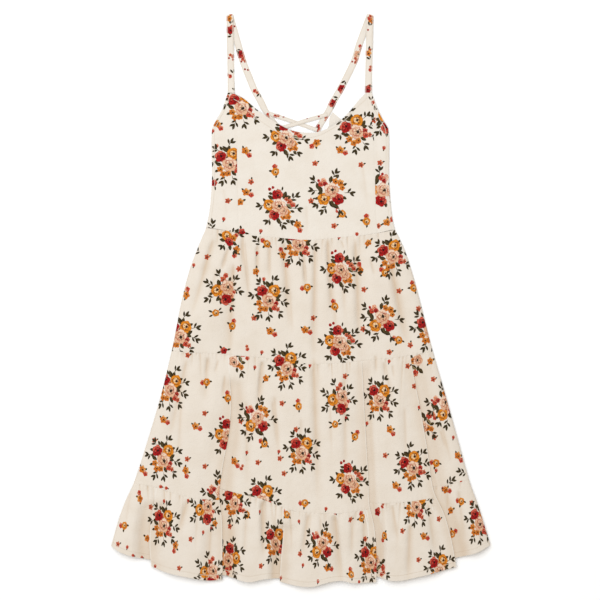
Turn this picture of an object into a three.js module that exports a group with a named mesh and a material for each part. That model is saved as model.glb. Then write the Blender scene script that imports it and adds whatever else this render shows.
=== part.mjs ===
// Sundress laid flat on its back: neckline towards +Y, hem towards -Y, front side up.
// Millimetres. The cloth is a thin wall around a middle surface built from rows of stations.
import * as THREE from 'three';

const { clamp, lerp, smoothstep } = THREE.MathUtils;

// Cloth
const WALL = 1.2;
const SEAM_GAP = 0.3;
const LACE_WALL = 1.0;
const REST = WALL + SEAM_GAP + WALL / 2; // lowest middle surface of the front, over the back
const EDGE_ROLL = 34; // width over which the front rises from a side edge
const BACK_INSET = 0.8; // back panels stop this far inside the front's side edges
const LAYER_Z = WALL / 2; // middle surface of a ribbon that lies on the floor

// Shoulder straps and laces
const STRAP_WIDTH = 12;
const LACE_WIDTH = 7;
const STRAP_TURN_RADIUS = 1;

// Gathers: spacing of the ridges along each seam, their rise and how far down they run
const GATHER = {
  waist: { pitch: 10.4, rise: 1.2, run: 46 },
  tier: { pitch: 8.4, rise: 1.0, run: 34 },
  ruffle: { pitch: 8.6, rise: 1.05, run: 26 },
};

// Side edges of the dress, from armhole to hem corner
const SIDES = [
  { y: 306, left: -160, right: 157 },
  { y: 216, left: -160, right: 158 },
  { y: 162, left: -164, right: 162 },
  { y: 129, left: -171, right: 168 },
  { y: 112, left: -178, right: 176 },
  { y: 90, left: -187, right: 186 },
  { y: 54, left: -200, right: 198 },
  { y: 0, left: -214, right: 213 },
  { y: -90, left: -232, right: 236 },
  { y: -180, left: -254, right: 262 },
  { y: -270, left: -281, right: 287 },
  { y: -330, left: -301, right: 304 },
  { y: -360, left: -315, right: 315 },
  { y: -396, left: -328, right: 327 },
  { y: -445, left: -342, right: 342 },
];

// How high the front's middle surface stands over its rest height, away from edges and folds
const PUFF = [
  { y: 370, rise: 0.9 },
  { y: 320, rise: 1.8 },
  { y: 240, rise: 3.0 },
  { y: 150, rise: 3.2 },
  { y: 112, rise: 3.2 },
  { y: 60, rise: 6.4 },
  { y: -30, rise: 7.6 },
  { y: -105, rise: 5.6 },
  { y: -190, rise: 9.0 },
  { y: -340, rise: 7.4 },
  { y: -420, rise: 11.0 },
  { y: -510, rise: 10.4 },
];

// Seams and hem as bays, split where a fold passes through them
const WAIST = [[
  { x: -173, y: 130 },
  { x: -137, y: 125 },
  { x: -97, y: 117 },
  { x: -52, y: 113 },
  { x: 16, y: 108 },
  { x: 72, y: 113 },
  { x: 117, y: 117 },
  { x: 169, y: 126 },
]];
const TIER_SEAM = [
  [
    { x: -232, y: -92 },
    { x: -155, y: -97 },
    { x: -70, y: -104 },
    { x: -2, y: -115 },
    { x: 72, y: -113 },
    { x: 112, y: -109 },
    { x: 164, y: -104 },
    { x: 236, y: -93 },
  ],
];
const RUFFLE_SEAM = {
  leftOfA: [
    { x: -304, y: -329 },
    { x: -262, y: -336 },
    { x: -228, y: -347 },
    { x: -192, y: -356 },
    { x: -140, y: -360 },
  ],
  betweenAB: [
    { x: -170, y: -333 },
    { x: -110, y: -348 },
    { x: -76, y: -356 },
    { x: -40, y: -369 },
    { x: -5, y: -380 },
    { x: 66, y: -383 },
    { x: 120, y: -376 },
  ],
  betweenBC: [
    { x: 108, y: -364 },
    { x: 157, y: -365 },
    { x: 194, y: -362 },
    { x: 250, y: -354 },
  ],
  rightOfC: [
    { x: 222, y: -338 },
    { x: 270, y: -331 },
    { x: 305, y: -322 },
  ],
};
const HEM = [
  [
    { x: -342, y: -441 },
    { x: -326, y: -452 },
    { x: -299, y: -461 },
    { x: -268, y: -467 },
  ],
  [
    { x: -278, y: -474 },
    { x: -245, y: -488 },
    { x: -191, y: -500 },
    { x: -165, y: -504 },
    { x: -142, y: -502 },
  ],
  [
    { x: -154, y: -490 },
    { x: -126, y: -498 },
    { x: -94, y: -506 },
    { x: -67, y: -501 },
    { x: -36, y: -500 },
  ],
  [
    { x: -40, y: -505 },
    { x: -18, y: -511 },
    { x: 18, y: -514.5 },
    { x: 52, y: -506 },
    { x: 74, y: -504 },
    { x: 95, y: -508 },
    { x: 136, y: -507 },
  ],
  [
    { x: 120, y: -491 },
    { x: 166, y: -504 },
    { x: 214, y: -496 },
    { x: 280, y: -479 },
  ],
  [
    { x: 262, y: -466 },
    { x: 311, y: -455 },
    { x: 342, y: -439 },
  ],
];

// Overlapping folds. side 1: the cloth left of the edge lies on top, side -1: the cloth right of it.
// depth is how far the cloth turns back under the edge, radius the bend of each turn and valley
// the reach of the low cloth beside the edge. The fold starts at the height y given by from.
const FOLDS = {
  A: {
    side: 1,
    depth: 13,
    radius: 2,
    valley: 20,
    from: -125,
    edge: [
      { y: -105, x: -131 },
      { y: -180, x: -126 },
      { y: -234, x: -129 },
      { y: -300, x: -141 },
      { y: -350, x: -147 },
      { y: -400, x: -142 },
      { y: -505, x: -142 },
    ],
  },
  B: {
    side: 1,
    depth: 12,
    radius: 1.8,
    valley: 14,
    from: -100,
    edge: [
      { y: -100, x: 109 },
      { y: -180, x: 113 },
      { y: -252, x: 117 },
      { y: -324, x: 121 },
      { y: -369, x: 123 },
      { y: -405, x: 131 },
      { y: -450, x: 135 },
      { y: -510, x: 135 },
    ],
  },
  C: {
    side: 1,
    depth: 17,
    radius: 2.6,
    valley: 30,
    from: -92,
    edge: [
      { y: -86, x: 193 },
      { y: -135, x: 202 },
      { y: -184, x: 212 },
      { y: -270, x: 227 },
      { y: -342, x: 238 },
      { y: -382, x: 256 },
      { y: -414, x: 266 },
      { y: -450, x: 274 },
      { y: -482, x: 279 },
    ],
  },
  D: {
    side: -1,
    depth: 8,
    radius: 1.6,
    valley: 14,
    from: -345,
    edge: [
      { y: -338, x: -259 },
      { y: -405, x: -270 },
      { y: -441, x: -272 },
      { y: -478, x: -269 },
    ],
  },
  E: {
    side: -1,
    depth: 8,
    radius: 1.5,
    valley: 12,
    from: -385,
    edge: [
      { y: -370, x: -30 },
      { y: -423, x: -32 },
      { y: -468, x: -36 },
      { y: -505, x: -38 },
    ],
  },
};
const FOLD_OPENS_OVER = 36; // length over which a fold turns from a slope into an overlap
const FOLD_DEEPENS_OVER = 110;
const FOLD_RIDGE = 30; // reach of the raised cloth that carries a fold edge
const FOLD_FLAT_SCALE = 0.6; // how tight the stations of a fold are before it opens
const FOLD_LOW = 0.4; // height of a fold's lowest cloth over the rest height

// Soft troughs and ridges, each along a line from (x0, y0) to (x1, y1)
const CREASES = [
  { x0: -158, y0: 112, x1: -200, y1: -45, width: 10, rise: -4.2 },
  { x0: -131, y0: 94, x1: -144, y1: 50, width: 6, rise: -2.4 },
  { x0: -121, y0: 68, x1: -130, y1: -125, width: 13, rise: -4.8 },
  { x0: -106, y0: 108, x1: -90, y1: -22, width: 7, rise: -2.7 },
  { x0: -79, y0: 100, x1: -79, y1: 25, width: 6, rise: -2.4 },
  { x0: -56, y0: 108, x1: -56, y1: 25, width: 6, rise: -2.4 },
  { x0: -32, y0: 108, x1: -20, y1: -60, width: 10, rise: -4.2 },
  { x0: 4, y0: 90, x1: 9, y1: 10, width: 6, rise: -2 },
  { x0: 25, y0: 108, x1: 22, y1: -130, width: 8, rise: -3.9 },
  { x0: 47, y0: 112, x1: 58, y1: -50, width: 8, rise: -4.5 },
  { x0: 72, y0: 68, x1: 80, y1: -45, width: 8, rise: -2.4 },
  { x0: 97, y0: 112, x1: 107, y1: -110, width: 10, rise: -4.8 },
  { x0: 160, y0: 70, x1: 193, y1: -95, width: 12, rise: -5.4 },
  { x0: 128, y0: 60, x1: 140, y1: -70, width: 16, rise: 2.4 },
  { x0: -175, y0: 60, x1: -196, y1: -110, width: 16, rise: 1.8 },
  { x0: -205, y0: -104, x1: -240, y1: -268, width: 10, rise: -4.8 },
  { x0: -169, y0: -101, x1: -173, y1: -190, width: 7, rise: -2.1 },
  { x0: -70, y0: -108, x1: -78, y1: -210, width: 7, rise: -3 },
  { x0: -99, y0: -180, x1: -97, y1: -345, width: 10, rise: -2.8 },
  { x0: -48, y0: -170, x1: -38, y1: -300, width: 10, rise: -2.2 },
  { x0: 22, y0: -100, x1: 31, y1: -390, width: 9, rise: -5.1 },
  { x0: 77, y0: -128, x1: 81, y1: -340, width: 9, rise: -3 },
  { x0: 151, y0: -112, x1: 166, y1: -200, width: 7, rise: -2.1 },
  { x0: 254, y0: -225, x1: 274, y1: -310, width: 9, rise: -2.7 },
  { x0: -203, y0: -356, x1: -224, y1: -430, width: 8, rise: -4.8 },
  { x0: -162, y0: -410, x1: -166, y1: -520, width: 8, rise: -4.2 },
  { x0: -70, y0: -358, x1: -66, y1: -470, width: 8, rise: -6 },
  { x0: 13, y0: -383, x1: 0, y1: -470, width: 8, rise: -3 },
  { x0: 61, y0: -383, x1: 74, y1: -520, width: 9, rise: -6 },
  { x0: 92, y0: -385, x1: 90, y1: -480, width: 8, rise: -2.7 },
  { x0: 164, y0: -366, x1: 175, y1: -440, width: 7, rise: -2.7 },
  { x0: 195, y0: -400, x1: 192, y1: -520, width: 9, rise: -3.6 },
  { x0: 282, y0: -340, x1: 294, y1: -440, width: 8, rise: -2.7 },
  { x0: -306, y0: -345, x1: -318, y1: -420, width: 8, rise: -1.8 },
  { x0: -118, y0: 330, x1: -112, y1: 122, width: 5, rise: -0.7 },
  { x0: 134, y0: 330, x1: 139, y1: 122, width: 5, rise: -0.7 },
  { x0: -90, y0: 190, x1: -20, y1: 130, width: 14, rise: 0.8 },
  { x0: 90, y0: 200, x1: 30, y1: 135, width: 14, rise: 0.7 },
];

// Bodice outlines, left half of the neckline to right half, and the princess seams
const NECKLINE = [
  { x: -122, y: 372.6 },
  { x: -104, y: 362 },
  { x: -83, y: 342 },
  { x: -56, y: 322 },
  { x: -29, y: 306 },
  { x: 0, y: 300.5 },
  { x: 27, y: 304 },
  { x: 58, y: 320 },
  { x: 79, y: 337 },
  { x: 101, y: 359 },
  { x: 117, y: 372.6 },
];
const PRINCESS_SEAMS = [
  { y: 373, left: -122.5, right: 117.5 },
  { y: 304, left: -115.5, right: 130 },
  { y: 252, left: -115, right: 132 },
  { y: 153, left: -113, right: 135 },
  { y: 112, left: -111, right: 139 },
];
const ARMHOLES = [
  { y: 373, left: -131.5, right: 126.5 },
  { y: 342, left: -142, right: 138 },
  { y: 324, left: -152, right: 147 },
  { y: 306, left: -160, right: 157 },
  { y: 216, left: -160, right: 158 },
  { y: 162, left: -164, right: 162 },
  { y: 129, left: -171, right: 168 },
  { y: 112, left: -178, right: 176 },
];
const APEX_Y = 372.6;
const BODICE_ROWS = [0, 0.05, 0.12, 0.19, 0.27, 0.38, 0.52, 0.66, 0.8, 0.92, 1]; // parts of the height

// Top edge of the back bodice, from the left side over both peaks to the right side
const BACK_TOP_SIDE_Y = 298;
const BACK_TOP = [
  { x: -120, y: 309 },
  { x: -79, y: 321 },
  { x: -71.5, y: 337.2 },
  { x: -61, y: 325.2 },
  { x: -60, y: 312 },
  { x: -50, y: 298 },
  { x: -30, y: 293 },
  { x: 0, y: 290 },
  { x: 26, y: 292 },
  { x: 42, y: 299 },
  { x: 50.4, y: 314 },
  { x: 51, y: 326 },
  { x: 52.9, y: 332.6 },
  { x: 56.8, y: 338 },
  { x: 76, y: 322 },
  { x: 116, y: 309 },
];

// Straps: front stretch from the bodice peak to the shoulder fold, then the back stretch below it
const STRAPS = {
  left: {
    foot: { x: -125.6, y: APEX_Y + SEAM_GAP },
    fold: { x: -128, y: 514.8 },
    back: [
      { x: -113, y: 459 },
      { x: -105.5, y: 432 },
      { x: -95, y: 405 },
      { x: -84, y: 378 },
      { x: -74, y: 360 },
      { x: -64.8, y: 342 },
      { x: -54, y: 327.6 },
      { x: -36, y: 305 },
    ],
    endWidth: 8,
  },
  right: {
    foot: { x: 121, y: APEX_Y + SEAM_GAP },
    fold: { x: 124, y: 514.8 },
    back: [
      { x: 104.5, y: 459 },
      { x: 96.5, y: 432 },
      { x: 84, y: 405 },
      { x: 70, y: 378 },
      { x: 59.5, y: 360 },
      { x: 50.4, y: 342 },
      { x: 34.2, y: 315 },
      { x: 28, y: 303 },
    ],
    endWidth: 10.5,
  },
};
const STRAP_FRONT_ROWS = 12;
const STRAP_BACK_ROWS = 26;
const STRAP_SAG = { from: 462, to: 425, z: 0.9 }; // where the front stretch comes down to the floor
const STRAP_TAPER = { from: 352, to: 326 };

// Laces: their ends lie on the straps, and they cross in the back opening
const LACE_END_Z = WALL + SEAM_GAP + LACE_WALL / 2;
const LACES = [
  { name: 'back_lace_lower', from: { x: -57, y: 335.6 }, to: { x: 29, y: 306 }, z: 0.5 },
  { name: 'back_lace_upper', from: { x: -36.5, y: 309.2 }, to: { x: 47, y: 334 }, z: 1.85 },
];
const LACE_CROSSING = { x: -3, near: 8, far: 32 };
const LACE_ROWS = 16;

const MATERIALS = {
  cotton: { color: 0xece2d3, roughness: 0.9, metalness: 0 },
  shadedCotton: { color: 0xe0d3c2, roughness: 0.92, metalness: 0 },
};

const GATHERED_ROWS = [0, 6, 18, 38, 66];

// Smooth curve through the rows of a table, read at one value of its index column
function readTable(rows, index, column, at) {
  const ahead = rows[rows.length - 1][index] > rows[0][index] ? 1 : -1;
  const place = (row) => row[index] * ahead;
  const target = clamp(at * ahead, place(rows[0]), place(rows[rows.length - 1]));
  let k = 0;
  while (k < rows.length - 2 && place(rows[k + 1]) < target) k += 1;
  const slope = (i) => {
    const a = rows[Math.max(i - 1, 0)];
    const b = rows[Math.min(i + 1, rows.length - 1)];
    return (b[column] - a[column]) / (place(b) - place(a));
  };
  const span = place(rows[k + 1]) - place(rows[k]);
  const t = (target - place(rows[k])) / span;
  const [from, to] = [rows[k][column], rows[k + 1][column]];
  const rise = (3 - 2 * t) * t * t;
  const bend = span * t * (1 - t) * (slope(k) * (1 - t) - slope(k + 1) * t);
  return from + (to - from) * rise + bend;
}

// Repeatable uneven value from -1 to 1 for gather spacing, rise and length
function uneven(index, kind) {
  const wave = Math.sin(index * 12.9898 + kind * 78.233) * 437.585;
  return 2 * (wave - Math.floor(wave)) - 1;
}

function sideRoll(x, y) {
  const inside = Math.min(x - readTable(SIDES, 'y', 'left', y), readTable(SIDES, 'y', 'right', y) - x);
  const t = clamp(inside / EDGE_ROLL, 0, 1);
  return Math.sqrt(t * (2 - t));
}

// Height of the front's middle surface before overlapping folds and gathers
function frontHeight(x, y) {
  let rise = readTable(PUFF, 'y', 'rise', y);
  for (const crease of CREASES) {
    const along = (crease.y0 - y) / (crease.y0 - crease.y1);
    if (along <= 0 || along >= 1) continue;
    const middle = lerp(crease.x0, crease.x1, along);
    const spread = (x - middle) / (crease.width * lerp(0.8, 1.25, along));
    const fade = smoothstep(along, 0, 0.12) * (1 - smoothstep(along, 0.6, 1));
    rise += crease.rise * fade * Math.exp(-spread * spread);
  }
  return REST + Math.max(rise, 0.4) * sideRoll(x, y);
}

// Section of a fold at one height y. The wall turns down and back under its edge by 'turn', runs
// back for 'depth', and turns level again: eight stations from left to right along the wall.
function foldSection(fold, y) {
  const turn = Math.PI * smoothstep(fold.from - y, 0, FOLD_OPENS_OVER);
  const deepen = smoothstep(fold.from - y, FOLD_OPENS_OVER, FOLD_OPENS_OVER + FOLD_DEEPENS_OVER);
  const steps = [1, 3, 5, 6, 5, 3, 1].map((sixths, k) => ({
    heading: (-turn * sixths) / 6,
    length: k === 3 ? lerp(fold.radius, fold.depth, deepen) : fold.radius,
  }));
  const fullDrop = 4 * fold.radius;
  const closed = (1 - Math.cos(turn)) / 2;
  const drop = steps.reduce((sum, { heading, length }) => sum - length * Math.sin(heading), 0);
  const scale = deepen > 0 ? 1 : clamp((closed * fullDrop) / Math.max(drop, 0.01), FOLD_FLAT_SCALE, 1);
  const edge = readTable(fold.edge, 'y', 'x', y);
  const low = REST + FOLD_LOW;
  const high = lerp(frontHeight(edge, y), low + fullDrop, closed);
  let reach = -fold.radius * Math.cos(Math.PI / 6) * scale;
  let z = high;
  const stations = [{ x: edge + fold.side * reach, z }];
  for (const { heading, length } of steps) {
    reach += length * scale * Math.cos(heading);
    z += length * scale * Math.sin(heading);
    stations.push({ x: edge + fold.side * reach, z });
  }
  if (fold.side < 0) stations.reverse();
  const formed = smoothstep(turn, 0, Math.PI / 6);
  for (const station of stations) {
    station.z = lerp(frontHeight(station.x, y), station.z, formed);
  }
  return { edge, stations, high, low: z, depth: steps[3].length, closed };
}

// Pull a station's height towards the high or low level of the fold beside it
function besideFold(fold, isLeftNeighbour, x, y, z) {
  const section = foldSection(fold, y);
  const beyond = fold.side * (x - section.edge);
  const isOnTop = isLeftNeighbour === (fold.side > 0);
  const pull = isOnTop
    ? smoothstep(beyond, -section.depth - 3 - FOLD_RIDGE, -section.depth - 3)
    : 1 - smoothstep(beyond, 3 + 0.3 * fold.valley, 3 + fold.valley);
  const still = pull * section.closed;
  return { z: lerp(z, isOnTop ? section.high : section.low, still), still };
}

// Stations of a gathered panel: u orders them across the panel, coarse ones reach the lower rows
function panelStations(panel) {
  const { folds, top, gather } = panel;
  const stations = [];
  const edgeXs = [readTable(SIDES, 'y', 'left', top[0][0].y)];
  for (const fold of folds) edgeXs.push(readTable(fold.edge, 'y', 'x', fold.from));
  edgeXs.push(readTable(SIDES, 'y', 'right', top[top.length - 1].slice(-1)[0].y));
  for (let bay = 0; bay <= folds.length; bay += 1) {
    const width = edgeXs[bay + 1] - edgeXs[bay];
    const count = 2 * Math.max(2, Math.round(width / gather.pitch));
    const first = bay === 0 ? 0 : 1;
    const last = bay === folds.length ? count : count - 1;
    for (let i = first; i <= last; i += 1) {
      const isEnd = i === 0 || i === count;
      const drift = isEnd ? 0 : 0.28 * uneven(i + 31 * bay, panel.seed);
      stations.push({
        bay,
        across: (i + drift) / count,
        coarse: i % 2 === 0,
        ridge: isEnd ? 0 : (i % 2) * 2 - 1,
        rise: 1 + 0.35 * uneven(i + 31 * bay, panel.seed + 1),
        run: 1 + 0.6 * uneven(Math.floor(i / 2) + 17 * bay, panel.seed + 2),
        u: bay + 0.05 + (0.9 * (i + drift)) / count,
      });
    }
    if (bay < folds.length) {
      for (let k = 0; k < 8; k += 1) {
        stations.push({ bay, fold: folds[bay], k, coarse: true, u: bay + 0.955 + 0.01 * k });
      }
    }
  }
  return stations;
}

// Seam or hem line of a bay, shifted by half the seam gap
function lineY(bays, bay, x, shift) {
  return readTable(bays[bay], 'x', 'y', x) + shift;
}

// One row of a gathered panel's middle surface, t = 0 at its upper seam and 1 at its lower edge
function panelRow(panel, stations, t, fromSeam) {
  const { folds, top, bottom } = panel;
  const shiftTop = -SEAM_GAP / 2;
  const shiftBottom = panel.isHem ? 0 : SEAM_GAP / 2;
  const lineAtFold = (bays, bay, k, shift) => {
    let y = bays[bay + 1][0].y;
    for (let pass = 0; pass < 3; pass += 1) {
      const { x } = foldSection(folds[bay], y).stations[k];
      y = lineY(bays, k < 4 ? bay : bay + 1, x, shift);
    }
    return y;
  };
  const foldRowY = (bay, k, part) => (
    lerp(lineAtFold(top, bay, k, shiftTop), lineAtFold(bottom, bay, k, shiftBottom), part)
  );
  const bayEnd = (bay, isRight, part) => {
    if (isRight ? bay === folds.length : bay === 0) {
      const endTop = top[bay][isRight ? top[bay].length - 1 : 0];
      const endBottom = bottom[bay][isRight ? bottom[bay].length - 1 : 0];
      const y = lerp(endTop.y + shiftTop, endBottom.y + shiftBottom, part);
      return { x: readTable(SIDES, 'y', isRight ? 'right' : 'left', y), y };
    }
    const fold = folds[isRight ? bay : bay - 1];
    const k = isRight ? 0 : 7;
    const y = foldRowY(isRight ? bay : bay - 1, k, part);
    return { x: foldSection(fold, y).stations[k].x, y };
  };
  return stations.map((station) => {
    const { bay } = station;
    if (station.fold) {
      const y = foldRowY(bay, station.k, t);
      const { x, z } = foldSection(station.fold, y).stations[station.k];
      const isLevel = station.k === 0 || station.k === 7;
      return { u: station.u, isLevel, point: new THREE.Vector3(x, y, z) };
    }
    const xAt = (part) => lerp(bayEnd(bay, false, part).x, bayEnd(bay, true, part).x, station.across);
    const y = lerp(lineY(top, bay, xAt(0), shiftTop), lineY(bottom, bay, xAt(1), shiftBottom), t);
    const x = xAt(t);
    let z = frontHeight(x, y);
    let calm = sideRoll(x, y);
    for (const [fold, isLeftNeighbour] of [[folds[bay - 1], false], [folds[bay], true]]) {
      if (!fold) continue;
      const beside = besideFold(fold, isLeftNeighbour, x, y, z);
      z = beside.z;
      calm *= 1 - beside.still;
    }
    const run = panel.gather.run * station.run;
    const gatherRise = station.ridge * station.rise * panel.gather.rise * Math.exp(-fromSeam / run);
    z = Math.max(REST, z + gatherRise * calm);
    return { u: station.u, point: new THREE.Vector3(x, y, z) };
  });
}

function panelRows(panel) {
  const stations = panelStations(panel);
  const coarse = stations.filter((station) => station.coarse);
  const rows = GATHERED_ROWS.map((fromSeam) => (
    panelRow(panel, stations, fromSeam / panel.length, fromSeam)
  ));
  const start = GATHERED_ROWS[GATHERED_ROWS.length - 1] / panel.length;
  for (let i = 1; i <= panel.lowerRows; i += 1) {
    const t = lerp(start, 1, i / panel.lowerRows);
    rows.push(panelRow(panel, coarse, t, t * panel.length));
  }
  return rows;
}

// Triangles between two rows that may hold different numbers of stations
function stitch(upper, lower, upperStart, lowerStart, triangles) {
  let i = 0;
  let j = 0;
  while (i < upper.length - 1 || j < lower.length - 1) {
    const upperNext = i < upper.length - 1 ? upper[i + 1].u : Infinity;
    const lowerNext = j < lower.length - 1 ? lower[j + 1].u : Infinity;
    if (upperNext <= lowerNext) {
      triangles.push([upperStart + i, lowerStart + j, upperStart + i + 1]);
      i += 1;
    } else {
      triangles.push([upperStart + i, lowerStart + j, lowerStart + j + 1]);
      j += 1;
    }
  }
}

// Closed wall of even thickness around a middle surface given as rows of stations
function wallGeometry(rows, thickness, squareEdges = true) {
  const starts = [];
  const middle = [];
  for (const row of rows) {
    starts.push(middle.length);
    for (const station of row) middle.push(station.point);
  }
  const sheet = [];
  for (let r = 0; r < rows.length - 1; r += 1) {
    stitch(rows[r], rows[r + 1], starts[r], starts[r + 1], sheet);
  }
  const normals = middle.map(() => new THREE.Vector3());
  for (const [a, b, c] of sheet) {
    const ab = middle[b].clone().sub(middle[a]);
    const face = ab.cross(middle[c].clone().sub(middle[a]));
    for (const i of [a, b, c]) normals[i].add(face);
  }
  if (squareEdges) {
    rows.forEach((row, r) => {
      normals[starts[r]].x = 0;
      normals[starts[r] + row.length - 1].x = 0;
    });
    squareRowNormals(rows[0], starts[0], normals);
    squareRowNormals(rows[rows.length - 1], starts[starts.length - 1], normals);
  }
  const count = middle.length;
  const positions = [];
  for (const offset of [thickness / 2, -thickness / 2]) {
    middle.forEach((point, i) => {
      const moved = normals[i].clone().normalize().multiplyScalar(offset).add(point);
      positions.push(moved.x, moved.y, moved.z);
    });
  }
  const indices = [];
  const openEdges = new Map();
  for (const [a, b, c] of sheet) {
    indices.push(a, b, c, a + count, c + count, b + count);
    for (const [from, to] of [[a, b], [b, c], [c, a]]) {
      if (openEdges.has(`${to},${from}`)) openEdges.delete(`${to},${from}`);
      else openEdges.set(`${from},${to}`, [from, to]);
    }
  }
  for (const [from, to] of openEdges.values()) {
    indices.push(to, from, from + count, to, from + count, to + count);
  }
  const geometry = new THREE.BufferGeometry();
  geometry.setAttribute('position', new THREE.Float32BufferAttribute(positions, 3));
  geometry.setIndex(indices);
  geometry.computeVertexNormals();
  return geometry;
}

// Keep a seam edge's faces square to Y, with normals taken from the row's own section
function squareRowNormals(row, start, normals) {
  row.forEach((station, i) => {
    const before = row[Math.max(i - 1, 0)].point;
    const after = row[Math.min(i + 1, row.length - 1)].point;
    if (i === 0 || i === row.length - 1 || station.isLevel) normals[start + i].set(0, 0, 1);
    else normals[start + i].set(before.z - after.z, 0, after.x - before.x);
  });
}

function makeMesh(name, geometry, material) {
  const mesh = new THREE.Mesh(geometry, new THREE.MeshStandardMaterial(material));
  mesh.name = name;
  return mesh;
}

// A bodice front piece between two side curves, with its top and bottom lines
function bodicePiece(name, { leftX, rightX, topY, bottomY, columns }) {
  const rows = BODICE_ROWS.map((part) => {
    const row = [];
    for (let i = 0; i <= columns; i += 1) {
      const u = i / columns;
      const topX = lerp(leftX(APEX_Y), rightX(APEX_Y), u);
      const bottomX = lerp(leftX(112), rightX(112), u);
      const y = lerp(topY(topX, u), bottomY(bottomX), part);
      const x = lerp(leftX(y), rightX(y), u);
      row.push({ u, point: new THREE.Vector3(x, y, frontHeight(x, y)) });
    }
    return row;
  });
  return makeMesh(name, wallGeometry(rows, WALL), MATERIALS.cotton);
}

function waistY(x) {
  return lineY(WAIST, 0, x, SEAM_GAP / 2);
}

function buildBodiceFront() {
  const seam = (side, shift) => (y) => readTable(PRINCESS_SEAMS, 'y', side, y) + shift;
  const armhole = (side) => (y) => readTable(ARMHOLES, 'y', side, y);
  const halfGap = SEAM_GAP / 2;
  return [
    bodicePiece('bodice_front_centre', {
      leftX: seam('left', halfGap),
      rightX: seam('right', -halfGap),
      topY: (x) => readTable(NECKLINE, 'x', 'y', x),
      bottomY: waistY,
      columns: 28,
    }),
    bodicePiece('bodice_front_side_left', {
      leftX: armhole('left'),
      rightX: seam('left', -halfGap),
      topY: () => APEX_Y,
      bottomY: waistY,
      columns: 5,
    }),
    bodicePiece('bodice_front_side_right', {
      leftX: seam('right', halfGap),
      rightX: armhole('right'),
      topY: () => APEX_Y,
      bottomY: waistY,
      columns: 5,
    }),
  ];
}

// Flat back piece on the floor, from an outline of [x, y] points
function backPlate(name, outline) {
  const shape = new THREE.Shape(outline.map(([x, y]) => new THREE.Vector2(x, y)));
  const geometry = new THREE.ExtrudeGeometry(shape, { depth: WALL, bevelEnabled: false });
  return makeMesh(name, geometry, MATERIALS.shadedCotton);
}

function sidePoints(side, topY, bottomY) {
  const inward = side === 'left' ? BACK_INSET : -BACK_INSET;
  const points = [];
  const steps = Math.ceil(Math.abs(topY - bottomY) / 22);
  for (let i = 0; i <= steps; i += 1) {
    const y = lerp(topY, bottomY, i / steps);
    points.push([readTable(SIDES, 'y', side, y) + inward, y]);
  }
  return points;
}

// Back seam lines run level with the front's side ends and sag to a shallow middle
const BACK_SAG_POWER = 2.8;
const BACK_LINES = {
  waist: { side: 128, middle: 108 },
  tier: { side: -93, middle: -112 },
  ruffle: { side: -326, middle: -362 },
  hem: { side: -436, middle: -490 },
};

function backLine(line, shift) {
  const left = readTable(SIDES, 'y', 'left', line.side + shift) + BACK_INSET;
  const right = readTable(SIDES, 'y', 'right', line.side + shift) - BACK_INSET;
  const points = [];
  for (let i = 0; i <= 16; i += 1) {
    const u = i / 16;
    const sag = 1 - Math.abs(2 * u - 1) ** BACK_SAG_POWER;
    points.push([lerp(left, right, u), lerp(line.side, line.middle, sag) + shift]);
  }
  return points;
}

function backPanel(name, upperLine, lowerLine, isHem) {
  const upper = backLine(upperLine, -SEAM_GAP / 2);
  const lower = backLine(lowerLine, isHem ? 0 : SEAM_GAP / 2);
  const left = sidePoints('left', lower[0][1], upper[0][1]).slice(1, -1);
  const right = sidePoints('right', upper[16][1], lower[16][1]).slice(1, -1);
  return backPlate(name, [...upper, ...right, ...lower.reverse(), ...left]);
}

function buildBack() {
  const waist = backLine(BACK_LINES.waist, SEAM_GAP / 2);
  const left = sidePoints('left', waist[0][1], BACK_TOP_SIDE_Y).slice(1);
  const right = sidePoints('right', BACK_TOP_SIDE_Y, waist[16][1]).slice(0, -1);
  const top = BACK_TOP.map(({ x, y }) => [x, y]);
  return [
    backPlate('bodice_back', [...left, ...top, ...right, ...waist.reverse()]),
    backPanel('upper_tier_back', BACK_LINES.waist, BACK_LINES.tier, false),
    backPanel('lower_tier_back', BACK_LINES.tier, BACK_LINES.ruffle, false),
    backPanel('hem_ruffle_back', BACK_LINES.ruffle, BACK_LINES.hem, true),
  ];
}

function buildSkirtFront() {
  const { A, B, C, D, E } = FOLDS;
  const { leftOfA, betweenAB, betweenBC, rightOfC } = RUFFLE_SEAM;
  const tierTop = [TIER_SEAM[0], TIER_SEAM[0], TIER_SEAM[0], TIER_SEAM[0]];
  const panels = [
    {
      name: 'upper_tier_front',
      folds: [],
      top: WAIST,
      bottom: TIER_SEAM,
      gather: GATHER.waist,
      length: 216,
      lowerRows: 6,
      seed: 1,
    },
    {
      name: 'lower_tier_front',
      folds: [A, B, C],
      top: tierTop,
      bottom: [leftOfA, betweenAB, betweenBC, rightOfC],
      gather: GATHER.tier,
      length: 246,
      lowerRows: 6,
      seed: 5,
    },
    {
      name: 'hem_ruffle_front',
      folds: [D, A, E, B, C],
      top: [leftOfA, leftOfA, betweenAB, betweenAB, betweenBC, rightOfC],
      bottom: HEM,
      gather: GATHER.ruffle,
      length: 136,
      lowerRows: 3,
      isHem: true,
      seed: 9,
    },
  ];
  return panels.map((panel) => (
    makeMesh(panel.name, wallGeometry(panelRows(panel), WALL), MATERIALS.cotton)
  ));
}

// Ribbon along a route of { x, y, z, width, turn }, turn being the angle from X across the ribbon
function ribbonGeometry(route, wall) {
  const rows = route.map(({ x, y, z, width, turn }) => {
    const across = new THREE.Vector3(Math.cos(turn), Math.sin(turn), 0).multiplyScalar(width / 2);
    const middle = new THREE.Vector3(x, y, z);
    return [
      { u: 0, point: middle.clone().sub(across) },
      { u: 1, point: middle.clone().add(across) },
    ];
  });
  return wallGeometry(rows, wall, false);
}

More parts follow.
